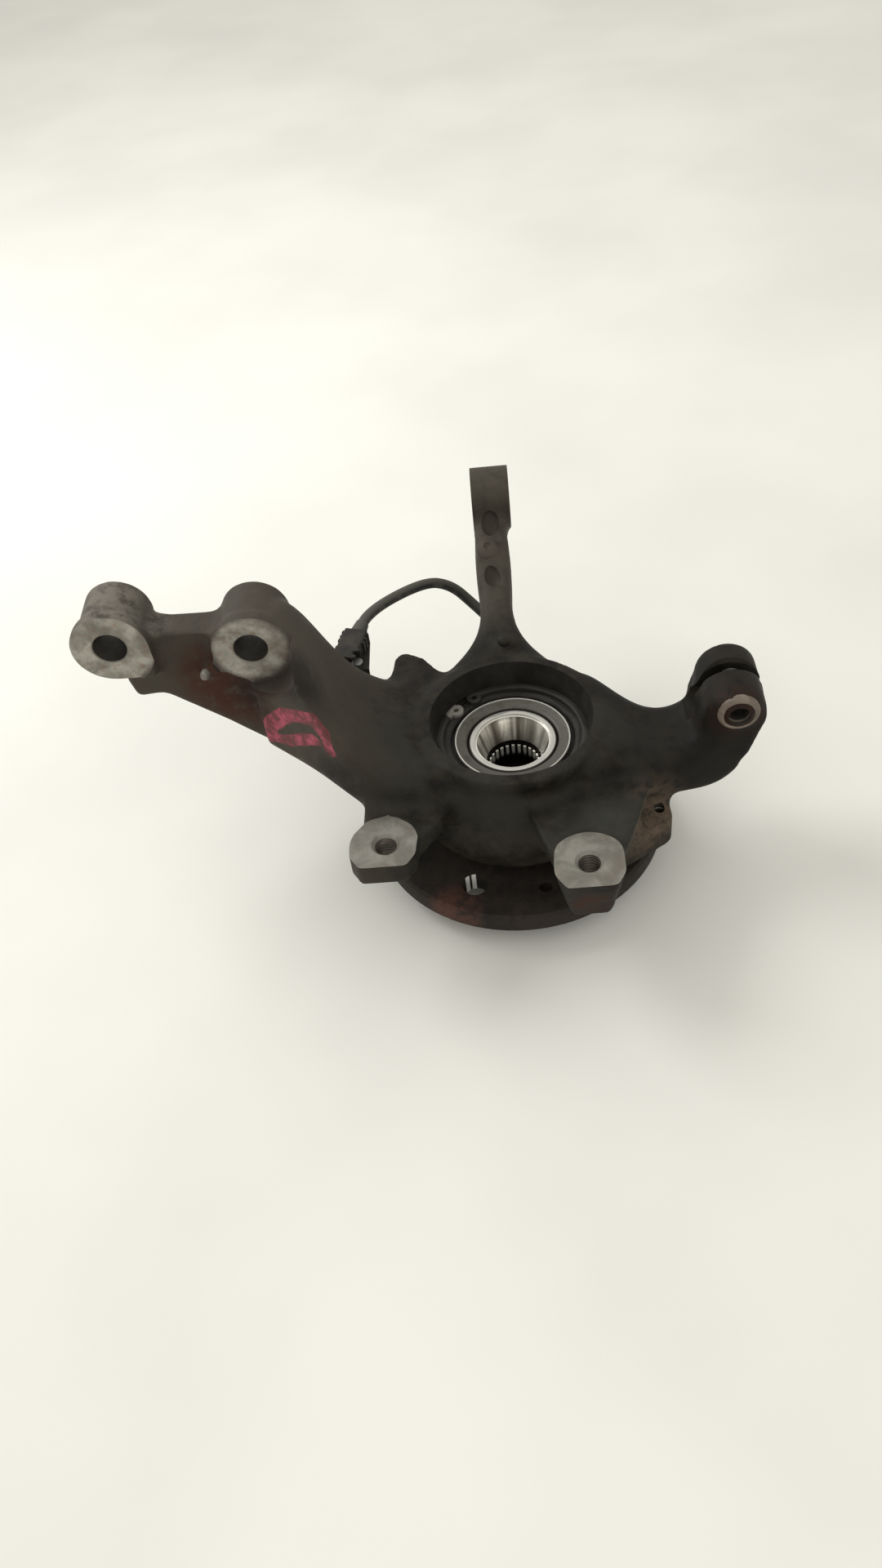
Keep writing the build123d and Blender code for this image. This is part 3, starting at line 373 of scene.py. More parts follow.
@dataclass(frozen=True)
class CastIronFinish:
    """As-cast iron skin: dark grey-brown, mottled, with light rust, a painted mark, and painted
    light and shade.
    """

    dark: Colour = (0.0064, 0.0053, 0.0043)
    light: Colour = (0.0359, 0.0299, 0.0229)
    dust_and_light: Colour = (0.0878, 0.0758, 0.0585)
    pale_dust_and_highlight: Colour = (0.200, 0.181, 0.153)
    brown: Colour = (0.0825, 0.0692, 0.0532)
    green: Colour = (0.0199, 0.0219, 0.0176)
    web_green: Colour = (0.0505, 0.0519, 0.0426)
    lug_brown: Colour = (0.126, 0.0904, 0.0625)
    ring_brown: Colour = (0.090, 0.072, 0.062)
    rust: Colour = (0.0480, 0.0170, 0.0095)
    paint: Colour = (0.220, 0.0230, 0.0440)
    faded_paint: Colour = (0.430, 0.0900, 0.135)
    # Rust, and painted shade under and beside the near strut pad, along the arm's lower edge, at
    # its root and in the two dimples; all below the painted shade of the ball joint's side
    rust_and_painted_shade: tuple[StainOrShade, ...] = (
        StainOrShade(
            rust,
            share=0.88,
            core=0.25,
            breaks=(0.30, 0.52),
            spots=(
                (-0.1395, 0.014, 0.112, 0.028),
                (-0.128, 0.010, 0.098, 0.030),
                (0.105, -0.019, 0.092, 0.020),
                (0.030, -0.100, 0.052, 0.016),
            ),
        ),
        StainOrShade(
            dark,
            share=0.65,
            core=0.20,
            breaks=(0.20, 0.50),
            spots=(
                (-0.1190, 0.013, 0.103, 0.022),
                (-0.0830, -0.026, 0.076, 0.026),
                (-0.0924, -0.011, 0.128, 0.022),
                (-0.0213, 0.049, 0.082, 0.020),
                (-0.0036, 0.1205, 0.1100, 0.0085),
                (-0.0044, 0.0935, 0.0965, 0.0085),
            ),
        ),
    )
    # The right caliper lug's web and the shield lug, above that shade
    upper_stains: tuple[StainOrShade, ...] = (
        StainOrShade(web_green, share=0.60, core=0.20, spots=((0.0380, -0.058, 0.055, 0.032),)),
        StainOrShade(
            lug_brown,
            share=0.80,
            core=0.25,
            breaks=(0.30, 0.60),
            spots=((0.0625, -0.040, 0.048, 0.027),),
        ),
    )
    ring_spot: Spot = (-0.0054, 0.1060, 0.1035, 0.0062)
    strokes: tuple[PaintStroke, ...] = (
        PaintStroke((-0.1185, 0.0815), (-0.1150, 0.0915), 0.0038),
        PaintStroke((-0.1150, 0.0915), (-0.1055, 0.1035), 0.0040),
        PaintStroke((-0.1055, 0.1035), (-0.0915, 0.1105), 0.0036),
        PaintStroke((-0.0915, 0.1105), (-0.0870, 0.1040), 0.0034),
        PaintStroke((-0.0870, 0.1040), (-0.0848, 0.0935), 0.0026),
        PaintStroke((-0.1185, 0.0815), (-0.1075, 0.0850), 0.0030),
        PaintStroke((-0.1075, 0.0850), (-0.0925, 0.0965), 0.0031),
    )
    stroke_wobble: float = 0.0042
    # Limits between which each region of the casting fades into the next
    high_z: Range = (0.082, 0.130)
    back_y: Range = (0.070, 0.110)
    strut_arm_x: Range = (-0.085, -0.045)
    far_boss_x: Range = (-0.172, -0.150)
    barrel_reach: Range = (0.095, 0.135)
    barrel_z: Range = (0.045, 0.065)
    ball_joint_x: Range = (0.020, 0.090)
    steering_arm_y: Range = (0.058, 0.085)
    # Sizes and depths of the surface pattern
    patch_grain: float = 0.034
    mottle_grain: float = 0.0075
    fine_grain: float = 0.0016
    sand_grain: float = 0.0011
    sand_depth: float = 0.00020
    wave_grain: float = 0.011
    wave_depth: float = 0.0007
    pit_size: float = 0.0042
    pit_depth: float = 0.00018

    def build(self) -> bpy.types.Material:
        """Return the cast skin's material."""
        shade = Shade("cast_iron_skin")
        broad = shade.noise(self.patch_grain, 3.0, 0.55, warp=0.6)
        mottle = shade.noise(self.mottle_grain, 5.0, 0.62)
        fine = shade.noise(self.fine_grain, 3.0)
        tone = shade.plus(shade.times(broad, 0.55), shade.times(mottle, 0.45))
        base = shade.mix(shade.ramp(tone, 0.34, 0.68), self.dark, self.light)
        base = self._regions(shade, base, broad, mottle)
        base = self._stains_light_and_shade(shade, base, mottle)
        freckle = shade.times(shade.ramp(fine, 0.58, 0.74), shade.ramp(broad, 0.45, 0.70))
        base = shade.lay(base, self.rust, freckle, 0.35)
        painted = self._paint_cover(shade, mottle, fine)
        paint = shade.mix(shade.ramp(mottle, 0.35, 0.65), self.paint, self.faded_paint)
        base = shade.mix(painted, base, paint)
        # Sand texture, with shallow pits and a slow waviness under it
        wave = shade.bump(shade.noise(self.wave_grain, 2.0, 0.5), self.wave_depth, 0.6)
        pit = shade.ramp(shade.spots(self.pit_size), 0.06, 0.30)
        pits = shade.bump(pit, self.pit_depth, 0.5, under=wave)
        sand = shade.noise(self.sand_grain, 3.0, 0.55)
        skin = shade.bump(sand, self.sand_depth, 0.75, under=pits)
        rough = shade.plus(0.52, shade.times(shade.ramp(mottle, 0.30, 0.75), 0.22))
        return shade.finish(Base_Color=base, Specular_IOR_Level=0.13, Roughness=rough, Normal=skin)

    def _regions(self, shade: Shade, base: Socket, broad: Socket, mottle: Socket) -> Socket:
        """Tint the strut arm, the upward faces and the barrel, with painted light on the arm and
        the upward faces.

        Args:
            shade: the material under construction.
            base: the plain skin's colour.
            broad: noise of large patches.
            mottle: noise of small patches.

        Returns:
            The tinted colour.
        """
        # Brown tone with painted light: the strut arm is made lighter towards -X
        strut_arm = shade.ramp(shade.part("X"), *self.strut_arm_x, flip=True)
        base = shade.lay(base, self.brown, strut_arm, 0.52)
        # Upward faces get a paler, dusty colour with painted light in it, most of it high up and at
        # the back
        upward = shade.ramp(shade.facing("Z"), 0.05, 0.95)
        high = shade.ramp(shade.part("Z"), *self.high_z)
        high_or_back = shade.maths("MAXIMUM", high, shade.ramp(shade.part("Y"), *self.back_y))
        settled = shade.times(upward, shade.plus(0.06, shade.times(high_or_back, 0.32)))
        base = shade.lay(base, self.dust_and_light, settled, shade.ramp(mottle, 0.25, 0.70))
        # Pale dusty colour with a painted highlight on the top of the far strut boss
        far_boss = shade.times(shade.ramp(shade.part("X"), *self.far_boss_x, flip=True), upward)
        base = shade.lay(base, self.pale_dust_and_highlight, far_boss, shade.ramp(mottle, 0.30, 0.62), 0.70)
        # Greenish grey round the barrel
        barrel = shade.ramp(shade.length(shade.place), *self.barrel_reach, flip=True)
        barrel = shade.times(barrel, shade.ramp(shade.part("Z"), *self.barrel_z))
        return shade.lay(base, self.green, barrel, shade.ramp(broad, 0.42, 0.60), 0.50)

    def _stains_light_and_shade(self, shade: Shade, base: Socket, mottle: Socket) -> Socket:
        """Add rust, painted shade, a dusty colour with a painted highlight on the steering arm, and
        the marks of single places.

        Args:
            shade: the material under construction.
            base: the colour below.
            mottle: noise of small patches.

        Returns:
            The colour with its stains, painted light and painted shade.
        """
        for stain in self.rust_and_painted_shade:
            base = stain.lay(shade, base, mottle)
        # Painted shade: the ball joint's side is darkened, except on two lugs
        base = shade.lay(base, self.dark, shade.ramp(shade.part("X"), *self.ball_joint_x), 0.55)
        for stain in self.upper_stains:
            base = stain.lay(shade, base, mottle)
        # Dusty colour with a painted highlight on the steering arm towards +Y
        arm = shade.ramp(shade.part("Y"), *self.steering_arm_y)
        base = shade.lay(base, self.dust_and_light, arm, shade.plus(0.25, shade.times(mottle, 0.50)))
        # The ring boss is pale between its hollow and its rim
        x, y, z, reach = self.ring_spot
        gap = shade.gap((x, y, z))
        rim = shade.ramp(gap, 0.8 * reach, reach, flip=True)
        hollow = shade.ramp(gap, 0.25 * reach, 0.5 * reach)
        return shade.lay(base, self.ring_brown, rim, hollow, 0.50)

    def _paint_cover(self, shade: Shade, mottle: Socket, fine: Socket) -> Socket:
        """Find where the brushed mark lies, worn thin in places.

        Args:
            shade: the material under construction.
            mottle: noise of small patches.
            fine: noise of single grains.

        Returns:
            How much of the surface the paint covers, from 0 to 1.
        """
        flat = shade.pressed(Flat.FROM_FRONT)
        wobble = shade.times(shade.maths("SUBTRACT", mottle, 0.5), self.stroke_wobble)
        cover = None
        for stroke in self.strokes:
            gap = shade.plus(shade.stroke_gap(flat, stroke.start, stroke.end), wobble)
            inside, outside = stroke.half_width - 0.0004, stroke.half_width + 0.0005
            own = shade.ramp(gap, inside, outside, flip=True)
            cover = own if cover is None else shade.maths("MAXIMUM", cover, own)
        front = shade.ramp(shade.facing("Y"), -0.50, -0.20, flip=True)
        thin = shade.plus(0.45, shade.times(shade.ramp(mottle, 0.42, 0.62), 0.50))
        return shade.times(cover, front, shade.times(thin, shade.ramp(fine, 0.22, 0.48)))


@dataclass(frozen=True)
class MachinedFinish:
    """Milled or turned iron: grey, with fine tool marks and a little rust bloom."""

    name: str
    light: Colour
    dark: Colour
    rust_share: float
    metallic: float
    roughness: float
    rust: Colour = (0.213, 0.113, 0.0599)
    grime_and_shade: Colour = (0.0665, 0.0545, 0.0426)
    specular: float = 0.5
    thread_pitch: float = 0.0
    clean_round: Point | None = None
    clean_edge: float = 0.004
    pad_edge: Range = (0.026, 0.030)
    cloud_grain: float = 0.012
    bloom_grain: float = 0.0038
    mark_grain: float = 0.0006
    mark_depth: float = 0.00003

    def build(self) -> bpy.types.Material:
        """Return the machined face's material."""
        shade = Shade(self.name)
        cloud = shade.noise(self.cloud_grain, warp=0.4)
        bloom = shade.noise(self.bloom_grain, 5.0, 0.66)
        base = shade.mix(shade.ramp(cloud, 0.35, 0.68), self.dark, self.light)
        rust = shade.times(shade.ramp(bloom, 0.50, 0.66), self.rust_share)
        base = shade.mix(rust, base, self.rust)
        if self.clean_round is not None:
            # Grime outside the round that a part was clamped on
            x, z, reach = self.clean_round
            gap = shade.gap((x, 0.0, z), shade.pressed(Flat.FROM_FRONT))
            gap = shade.plus(gap, shade.times(bloom, 0.002))
            outside = shade.ramp(gap, reach, reach + self.clean_edge)
            on_pad = shade.ramp(gap, *self.pad_edge, flip=True)
            base = shade.lay(base, self.grime_and_shade, outside, on_pad)
        lines = shade.noise(self.mark_grain, 2.0, 0.5, at=shade.stretched((1.0, 1.0, 6.0)))
        marks = shade.bump(lines, self.mark_depth, 0.5)
        if self.thread_pitch:
            turn = shade.times(shade.part("Z"), FULL_TURN / self.thread_pitch)
            ridge = shade.plus(shade.times(shade.maths("SINE", turn), 0.5), 0.5)
            marks = shade.bump(ridge, 0.35 * self.thread_pitch, 1.0, under=marks)
        return shade.finish(
            Base_Color=base,
            Metallic=self.metallic,
            Specular_IOR_Level=self.specular,
            Roughness=shade.plus(self.roughness, shade.times(rust, 0.3)),
            Normal=marks,
        )


@dataclass(frozen=True)
class HubFinish:
    """Forged hub: rusty brown flange outside; inside, a bright ground bore and spline with painted
    reflections, painted highlights and painted shade.
    """

    dark: Colour = (0.0180, 0.0157, 0.0133)
    rust: Colour = (0.0306, 0.0233, 0.0186)
    red_rust: Colour = (0.0931, 0.0426, 0.0306)
    # Lit and shaded steel for the spigot's painted reflections and highlights, and a dark colour
    # for painted shade in its relief
    bright: Colour = (0.86, 0.84, 0.77)
    shaded: Colour = (0.239, 0.213, 0.178)
    grime_and_shade: Colour = (0.0160, 0.0133, 0.0106)
    glint: Colour = (0.80, 0.79, 0.75)
    # Centre and reach, from above, of the flange's reddest place
    red_place: Point = (-0.0340, -0.0640, 0.017)
    # Limits between which each band of the spigot fades in or out, by radius or height
    bore_radius: Range = (0.0187, 0.0190)
    bore_z: Range = (0.039, 0.041)
    end_z: Range = (0.0673, 0.0675)
    lead_in_z: Range = (0.0549, 0.0555)
    crest_radius: Range = (0.0124, 0.0129)
    crest_z: Range = (0.0464, 0.0494)
    # The bolt hole whose wall catches the light, and the (x, half width) of its two bright bars
    bolt_hole: Range = (-0.02367, -0.05075)
    hole_radius: Range = (0.00645, 0.00665)
    hole_wall_y: Range = (-0.04715, -0.04665)
    hole_glints: tuple[Range, ...] = ((-0.0274, 0.0008), (-0.0243, 0.0009))
    glint_edge: float = 0.0003
    cloud_grain: float = 0.020
    bloom_grain: float = 0.004
    skin_grain: float = 0.0012
    skin_depth: float = 0.0001

    def build(self) -> bpy.types.Material:
        """Return the hub's material."""
        shade = Shade("hub_steel")
        cloud = shade.noise(self.cloud_grain, warp=0.5)
        bloom = shade.noise(self.bloom_grain, 5.0, 0.65)
        tone = shade.plus(shade.times(cloud, 0.5), shade.times(bloom, 0.5))
        outer = shade.mix(shade.ramp(tone, 0.38, 0.62), self.dark, self.rust)
        flat = shade.pressed(Flat.FROM_ABOVE)
        x, y, reach = self.red_place
        reddish = shade.ramp(shade.gap((x, y, 0.0), flat), 0.45 * reach, reach, flip=True)
        outer = shade.lay(outer, self.red_rust, reddish, shade.ramp(tone, 0.32, 0.52), 0.75)
        radius, height = shade.length(flat), shade.part("Z")
        in_bore = shade.ramp(radius, *self.bore_radius, flip=True)
        bore = shade.times(in_bore, shade.ramp(height, *self.bore_z))
        base = shade.mix(bore, outer, self._spigot(shade, radius, height))
        base = self._bolt_hole(shade, base, flat)
        skin = shade.bump(shade.noise(self.skin_grain, 3.0), self.skin_depth, 0.4)
        return shade.finish(
            Base_Color=base,
            Metallic=shade.times(bore, 0.75),
            Specular_IOR_Level=0.15,
            Roughness=shade.maths("SUBTRACT", 0.62, shade.times(bore, 0.34)),
            Normal=skin,
        )

    def _spigot(self, shade: Shade, radius: Socket, height: Socket) -> Socket:
        """Colour the spigot's inside.

        From the top it has a bright end, painted reflections streaked round the lead-in, painted
        shade in the relief, and bright spline crests that fade downwards into painted shade.

        Args:
            shade: the material under construction.
            radius: distance from the hub axis.
            height: height along it.

        Returns:
            The spigot's colour.
        """
        # Painted reflections: bands of lit and shaded steel that change with the angle round the
        # hub axis
        reflection_bands = shade.ramp(shade.angle_bands(2.6, 2.0), 0.36, 0.62)
        inner = shade.mix(reflection_bands, self.shaded, self.bright)
        inner = shade.mix(shade.ramp(height, *self.end_z), inner, self.bright)
        inner = shade.mix(shade.ramp(height, *self.lead_in_z), self.grime_and_shade, inner)
        crest = shade.ramp(radius, *self.crest_radius, flip=True)
        return shade.lay(inner, self.bright, crest, shade.ramp(height, *self.crest_z))

    def _bolt_hole(self, shade: Shade, base: Socket, flat: Socket) -> Socket:
        """Add the light that falls on one bolt hole's wall.

        Args:
            shade: the material under construction.
            base: the colour below.
            flat: coordinates pressed flat from above.

        Returns:
            The colour with the two bright bars.
        """
        x, y = self.bolt_hole
        hole = shade.ramp(shade.gap((x, y, 0.0), flat), *self.hole_radius, flip=True)
        wall = shade.times(hole, shade.ramp(shade.part("Y"), *self.hole_wall_y))
        for middle, half in self.hole_glints:
            off = shade.maths("ABSOLUTE", shade.maths("SUBTRACT", shade.part("X"), middle))
            bar = shade.ramp(off, half, half + self.glint_edge, flip=True)
            base = shade.lay(base, self.glint, wall, bar)
        return base


@dataclass(frozen=True)
class SteelFinish:
    """Plain bright or dark steel with fine turning marks round the hub axis."""

    name: str
    colour: Colour
    stain: Colour
    stain_share: float
    roughness: float
    metallic: float = 0.9
    rim_from: float | None = None
    rim_light_and_shade: Colour = (0.72, 0.71, 0.67)
    rim_edge: float = 0.00015
    spot: Spot | None = None
    highlight_colour: Colour = (0.266, 0.255, 0.226)
    spot_edge: float = 0.0015
    cloud_grain: float = 0.006
    turning_pitch: float = 0.00035
    turning_depth: float = 0.000004

    def build(self) -> bpy.types.Material:
        """Return the steel's material; where given, its rim takes painted shade or a painted
        highlight, and one spot a painted highlight.
        """
        shade = Shade(self.name)
        cloud = shade.noise(self.cloud_grain)
        stained = shade.times(shade.ramp(cloud, 0.45, 0.75), self.stain_share)
        base = shade.mix(stained, self.colour, self.stain)
        radius = shade.length(shade.pressed(Flat.FROM_ABOVE))
        # Painted light on the rim: shade on the nose ring, a highlight on the flinger
        if self.rim_from is not None:
            low, high = self.rim_from - self.rim_edge, self.rim_from + self.rim_edge
            base = shade.mix(shade.ramp(radius, low, high), base, self.rim_light_and_shade)
        # Painted highlight on one spot, the circlip's lit ear
        if self.spot is not None:
            x, y, z, reach = self.spot
            cover = shade.ramp(shade.gap((x, y, z)), reach - self.spot_edge, reach, flip=True)
            base = shade.mix(cover, base, self.highlight_colour)
        rings = shade.maths("SINE", shade.times(radius, FULL_TURN / self.turning_pitch))
        return shade.finish(
            Base_Color=base,
            Metallic=self.metallic,
            Roughness=shade.plus(self.roughness, shade.times(cloud, 0.10)),
            Normal=shade.bump(rings, self.turning_depth, 0.5),
        )


@dataclass(frozen=True)
class MouldedFinish:
    """Rubber or plastic with a fine grain, a dusty coat in patches, and where given a painted
    highlight on its upward faces.
    """

    name: str
    colour: Colour
    dust_and_light: Colour
    dust_and_light_share: float
    roughness: float
    top_highlight_share: float = 0.0
    film_grain: float = 0.009
    surface_grain: float = 0.0005
    surface_depth: float = 0.00003

    def build(self) -> bpy.types.Material:
        """Return the moulding's material."""
        shade = Shade(self.name)
        film_and_top_light = shade.ramp(shade.noise(self.film_grain, 5.0, 0.65), 0.42, 0.70)
        # Painted highlight: upward faces are made lighter, in the dusty colour
        if self.top_highlight_share:
            upward = shade.times(shade.ramp(shade.facing("Z"), 0.10, 0.80), self.top_highlight_share)
            film_and_top_light = shade.maths("MAXIMUM", film_and_top_light, upward)
        grain = shade.noise(self.surface_grain, 2.0, 0.5)
        return shade.finish(
            Base_Color=shade.lay(self.colour, self.dust_and_light, film_and_top_light, self.dust_and_light_share),
            Specular_IOR_Level=0.25,
            Roughness=shade.plus(self.roughness, shade.times(film_and_top_light, 0.12)),
            Normal=shade.bump(grain, self.surface_depth, 0.5),
        )


# Modelling helpers
# -----------------


def pick_only(thing: bpy.types.Object) -> None:
    """Deselect everything, then select one object and make it active."""
    bpy.ops.object.select_all(action="DESELECT")
    thing.select_set(True)
    bpy.context.view_layer.objects.active = thing


def settled(name: str) -> bpy.types.Object:
    """Name the new active object and write its place into its mesh, so it sits at the origin.

    Args:
        name: the object's name.

    Returns:
        The object.
    """
    thing = bpy.context.active_object
    thing.name = name
    pick_only(thing)
    bpy.ops.object.transform_apply(location=True, rotation=True, scale=True)
    return thing


def apply_all(thing: bpy.types.Object) -> None:
    """Apply every modifier of an object, first to last."""
    pick_only(thing)
    for modifier in list(thing.modifiers):
        bpy.ops.object.modifier_apply(modifier=modifier.name)


def carve(
    blank: bpy.types.Object,
    tool: bpy.types.Object,
    finish: bpy.types.Material | None = None,
    add: bool = False,
) -> None:
    """Cut a tool out of a mesh, or add it, and remove the tool.

    Args:
        blank: the mesh that changes.
        tool: the closed mesh to cut with or add.
        finish: the material of the new faces, or None where it plays no part.
        add: adds the tool's volume in place of cutting it.
    """
    cut = blank.modifiers.new("cut", "BOOLEAN")
    cut.operation = "UNION" if add else "DIFFERENCE"
    cut.solver = "MANIFOLD"
    if finish:
        tool.data.materials.clear()
        tool.data.materials.append(finish)
        cut.material_mode = "TRANSFER"
    cut.object = tool
    apply_all(blank)
    bpy.data.objects.remove(tool)


def smooth(thing: bpy.types.Object, passes: int) -> None:
    """Even out a mesh's surface a number of times."""
    soft = thing.modifiers.new("soft", "SMOOTH")
    soft.factor = 0.5
    soft.iterations = passes
    apply_all(thing)


def merged_copy(node: str, name: str) -> bpy.types.Object:
    """Return a welded copy of a CAD node.

    Args:
        node: the CAD node to copy.
        name: the copy's name.

    Returns:
        The copy, free of any body.
    """
    source = frame["nodes"][node]
    copy = bpy.data.objects.new(name, source.data.copy())
    bpy.context.scene.collection.objects.link(copy)
    copy.data.materials.clear()
    pick_only(copy)
    bpy.ops.object.mode_set(mode="EDIT")
    bpy.ops.mesh.select_all(action="SELECT")
    bpy.ops.mesh.remove_doubles(threshold=0.001 * MM)
    bpy.ops.mesh.customdata_custom_splitnormals_clear()
    bpy.ops.object.mode_set(mode="OBJECT")
    return copy


def rod(
    name: str,
    start: Vector,
    end: Vector,
    radius: float,
    far_radius: float | None = None,
    sides: int = 64,
) -> bpy.types.Object:
    """Return a closed round bar or cone between two points.

    Args:
        name: the bar's name.
        start: centre of its first end.
        end: centre of its other end.
        radius: radius at the first end.
        far_radius: radius at the other end, or None for the same.
        sides: number of flats round it.

    Returns:
        The bar, with its place in its mesh.
    """
    span = end - start
    bpy.ops.object.select_all(action="DESELECT")
    bpy.ops.mesh.primitive_cone_add(
        vertices=sides,
        radius1=radius,
        radius2=radius if far_radius is None else far_radius,
        depth=span.length,
        location=(start + end) / 2,
        rotation=span.to_track_quat("Z", "Y").to_euler(),
    )
    return settled(name)


def block(name: str, x: Range, y: Range, z: Range) -> bpy.types.Object:
    """Return a closed box.

    Args:
        name: the box's name.
        x: its lowest and highest x.
        y: its lowest and highest y.
        z: its lowest and highest z.

    Returns:
        The box, with its place in its mesh.
    """
    low, high = Vector((x[0], y[0], z[0])), Vector((x[1], y[1], z[1]))
    bpy.ops.object.select_all(action="DESELECT")
    bpy.ops.mesh.primitive_cube_add(size=1.0, location=(low + high) / 2, scale=high - low)
    return settled(name)


def lathe(name: str, outline: Sequence[Range], steps: int = 160) -> bpy.types.Object:
    """Return a closed turned shape about the hub axis.

    Args:
        name: the shape's name.
        outline: its closed (radius, z) outline, which may touch the axis.
        steps: number of steps round the axis.

    Returns:
        The turned shape with its faces pointing outwards.
    """
    mesh = bpy.data.meshes.new(name)
    points = [(radius, 0.0, height) for radius, height in outline]
    mesh.from_pydata(points, [(i, (i + 1) % len(points)) for i in range(len(points))], [])
    shape = bpy.data.objects.new(name, mesh)
    bpy.context.scene.collection.objects.link(shape)
    pick_only(shape)
    bpy.ops.object.mode_set(mode="EDIT")
    bpy.ops.mesh.select_all(action="SELECT")
    bpy.ops.mesh.spin(steps=steps, angle=FULL_TURN, center=(0, 0, 0), axis=(0, 0, 1))
    bpy.ops.mesh.select_all(action="SELECT")
    bpy.ops.mesh.remove_doubles(threshold=0.001 * MM)
    bpy.ops.mesh.normals_make_consistent(inside=False)
    bpy.ops.object.mode_set(mode="OBJECT")
    return shape


def soften_shading(thing: bpy.types.Object, degrees: float) -> None:
    """Shade an object smooth except across edges sharper than an angle."""
    pick_only(thing)
    bpy.ops.object.shade_smooth_by_angle(angle=math.radians(degrees))


def through(centre: Vector, axis: Axis, start: float, end: float) -> tuple[Vector, Vector]:
    """Return two points of the line through a centre along an axis.

    Args:
        centre: a point on the line.
        axis: the axis that the line follows.
        start: the first point's coordinate along it.
        end: the other point's coordinate along it.

    Returns:
        The two points.
    """
    first, second = centre.copy(), centre.copy()
    first[axis.value], second[axis.value] = start, end
    return first, second


def mount(name: str) -> dict:
    """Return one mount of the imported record."""
    return next(entry for entry in frame["record"]["mounts"] if entry["name"] == name)


def mount_place(name: str) -> Vector:
    """Return the point of a mount."""
    return Vector(mount(name)["pos_m"])


def mount_radius(name: str) -> float:
    """Return the radius of a round mount, in metres."""
    return mount(name)["dims"]["r_mm"] * MM


def show(thing: bpy.types.Object, body: Body, node: str) -> None:
    """Make a finished piece ride its body in place of a CAD node, and report it.

    Args:
        thing: the finished piece.
        body: the body it moves with.
        node: the CAD node that it stands for.
    """
    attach(thing, body.value)
    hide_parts(node)
    log.info("%s: %d faces, rides %s", thing.name, len(thing.data.polygons), body.value)


# Casting
# -------


@dataclass
class MachinedFace:
    """A flat face that is cast with extra stock and then cut back to its plane."""

    name: str
    centre: Vector
    facing: Direction
    reach: float
    finish: str = "pad"
    cut_reach: float | None = None
    overcut: float = 3 * MM
    room: float = 30 * MM

    def outward(self) -> Vector:
        """Return the face's outward direction."""
        return Vector(self.facing.value)

    def cutter(self) -> bpy.types.Object:
        """Return the round cutter that clears everything in front of the face."""
        end = self.centre + self.outward() * self.room
        radius = self.cut_reach or self.reach + self.overcut
        return rod(f"{self.name}_cutter", self.centre, end, radius)

    def owns(self, polygon: bpy.types.MeshPolygon) -> bool:
        """Tell whether a facet of the plain casting lies in this face.

        Args:
            polygon: the facet.

        Returns:
            True for a facet that faces the same way, in the same plane and near the centre.
        """
        same_way, same_plane, margin = 0.999, 0.2 * MM, 6 * MM
        gap = polygon.center - self.centre
        return (
            polygon.normal.dot(self.outward()) > same_way
            and abs(gap.dot(self.outward())) < same_plane
            and gap.length < self.reach + margin
        )


@dataclass
class Bore:
    """A round hole: plugged while the blank is blended, then drilled."""

    name: str
    start: Vector
    end: Vector
    radius: float
    far_radius: float | None = None
    chamfer: float = 0.0
    threaded: bool = False
    overrun: float = 4 * MM
    lip: float = 0.5 * MM

    def along(self) -> Vector:
        """Return the direction from the hole's start to its end."""
        return (self.end - self.start).normalized()

    def plug(self, stock: float, spare: float) -> bpy.types.Object:
        """Return a plug a little wider than the hole.

        Args:
            stock: how far it stands out of the hole's start.
            spare: how much wider its radius is than the hole's mouth.

        Returns:
            The plug.
        """
        wide = max(self.radius, self.far_radius or 0.0) + self.chamfer + spare
        return rod(f"{self.name}_plug", self.start - self.along() * stock, self.end, wide, sides=32)

    def drill(self) -> bpy.types.Object:
        """Return the drill, which overruns both ends of the hole."""
        over = self.along() * self.overrun
        ends = self.start - over, self.end + over
        return rod(f"{self.name}_drill", *ends, self.radius, self.far_radius)

    def countersink(self) -> bpy.types.Object:
        """Return the cone that breaks the edge of the hole's mouth."""
        ends = self.start - self.along() * self.lip, self.start + self.along() * self.chamfer
        mouth = self.radius + self.chamfer + self.lip
        return rod(f"{self.name}_countersink", *ends, mouth, self.radius)


@dataclass
class CastMark:
    """A small raised or sunken form, set on the blended skin where a straight line meets it."""

    name: str
    place: Range
    size: Point
    depth: float
    raised: bool
    side: Direction = Direction.UP
    finish: str = "cast"
    ray_start: float = 300 * MM

    def tool(self, blank: bpy.types.Object) -> bpy.types.Object:
        """Return the ellipsoid, turned to lie on the skin, its centre sunk by its depth.

        Args:
            blank: the blended casting.

        Returns:
            The ellipsoid, to be cut out or added.

        Raises:
            ValueError: when the line misses the casting.
        """
        outward = Vector(self.side.value)
        first, second = self.place
        on_top = self.side is Direction.UP
        over = Vector((first, second, 0.0)) if on_top else Vector((first, 0.0, second))
        hit, point, normal, _ = blank.ray_cast(over + self.ray_start * outward, -outward)
        if not hit:
            raise ValueError(f"{self.name} misses the casting")
        bpy.ops.object.select_all(action="DESELECT")
        bpy.ops.mesh.primitive_uv_sphere_add(
            segments=40,
            ring_count=20,
            radius=1.0,
            scale=self.size,
            location=point + normal * self.depth,
            rotation=normal.to_track_quat("Z", "Y").to_euler(),
        )
        return settled(self.name)


def dimple(name: str, x: float, y: float, size: Point, depth: float) -> CastMark:
    """Return a hollow in the top of the steering arm, all its lengths given in millimetres."""
    return CastMark(name, (x * MM, y * MM), tuple(v * MM for v in size), depth * MM, False)


def boss(name: str, x: float, y: float, size: Point, depth: float) -> CastMark:
    """Return a raised form on the steering arm, all its lengths given in millimetres."""
    return CastMark(name, (x * MM, y * MM), tuple(v * MM for v in size), depth * MM, True)


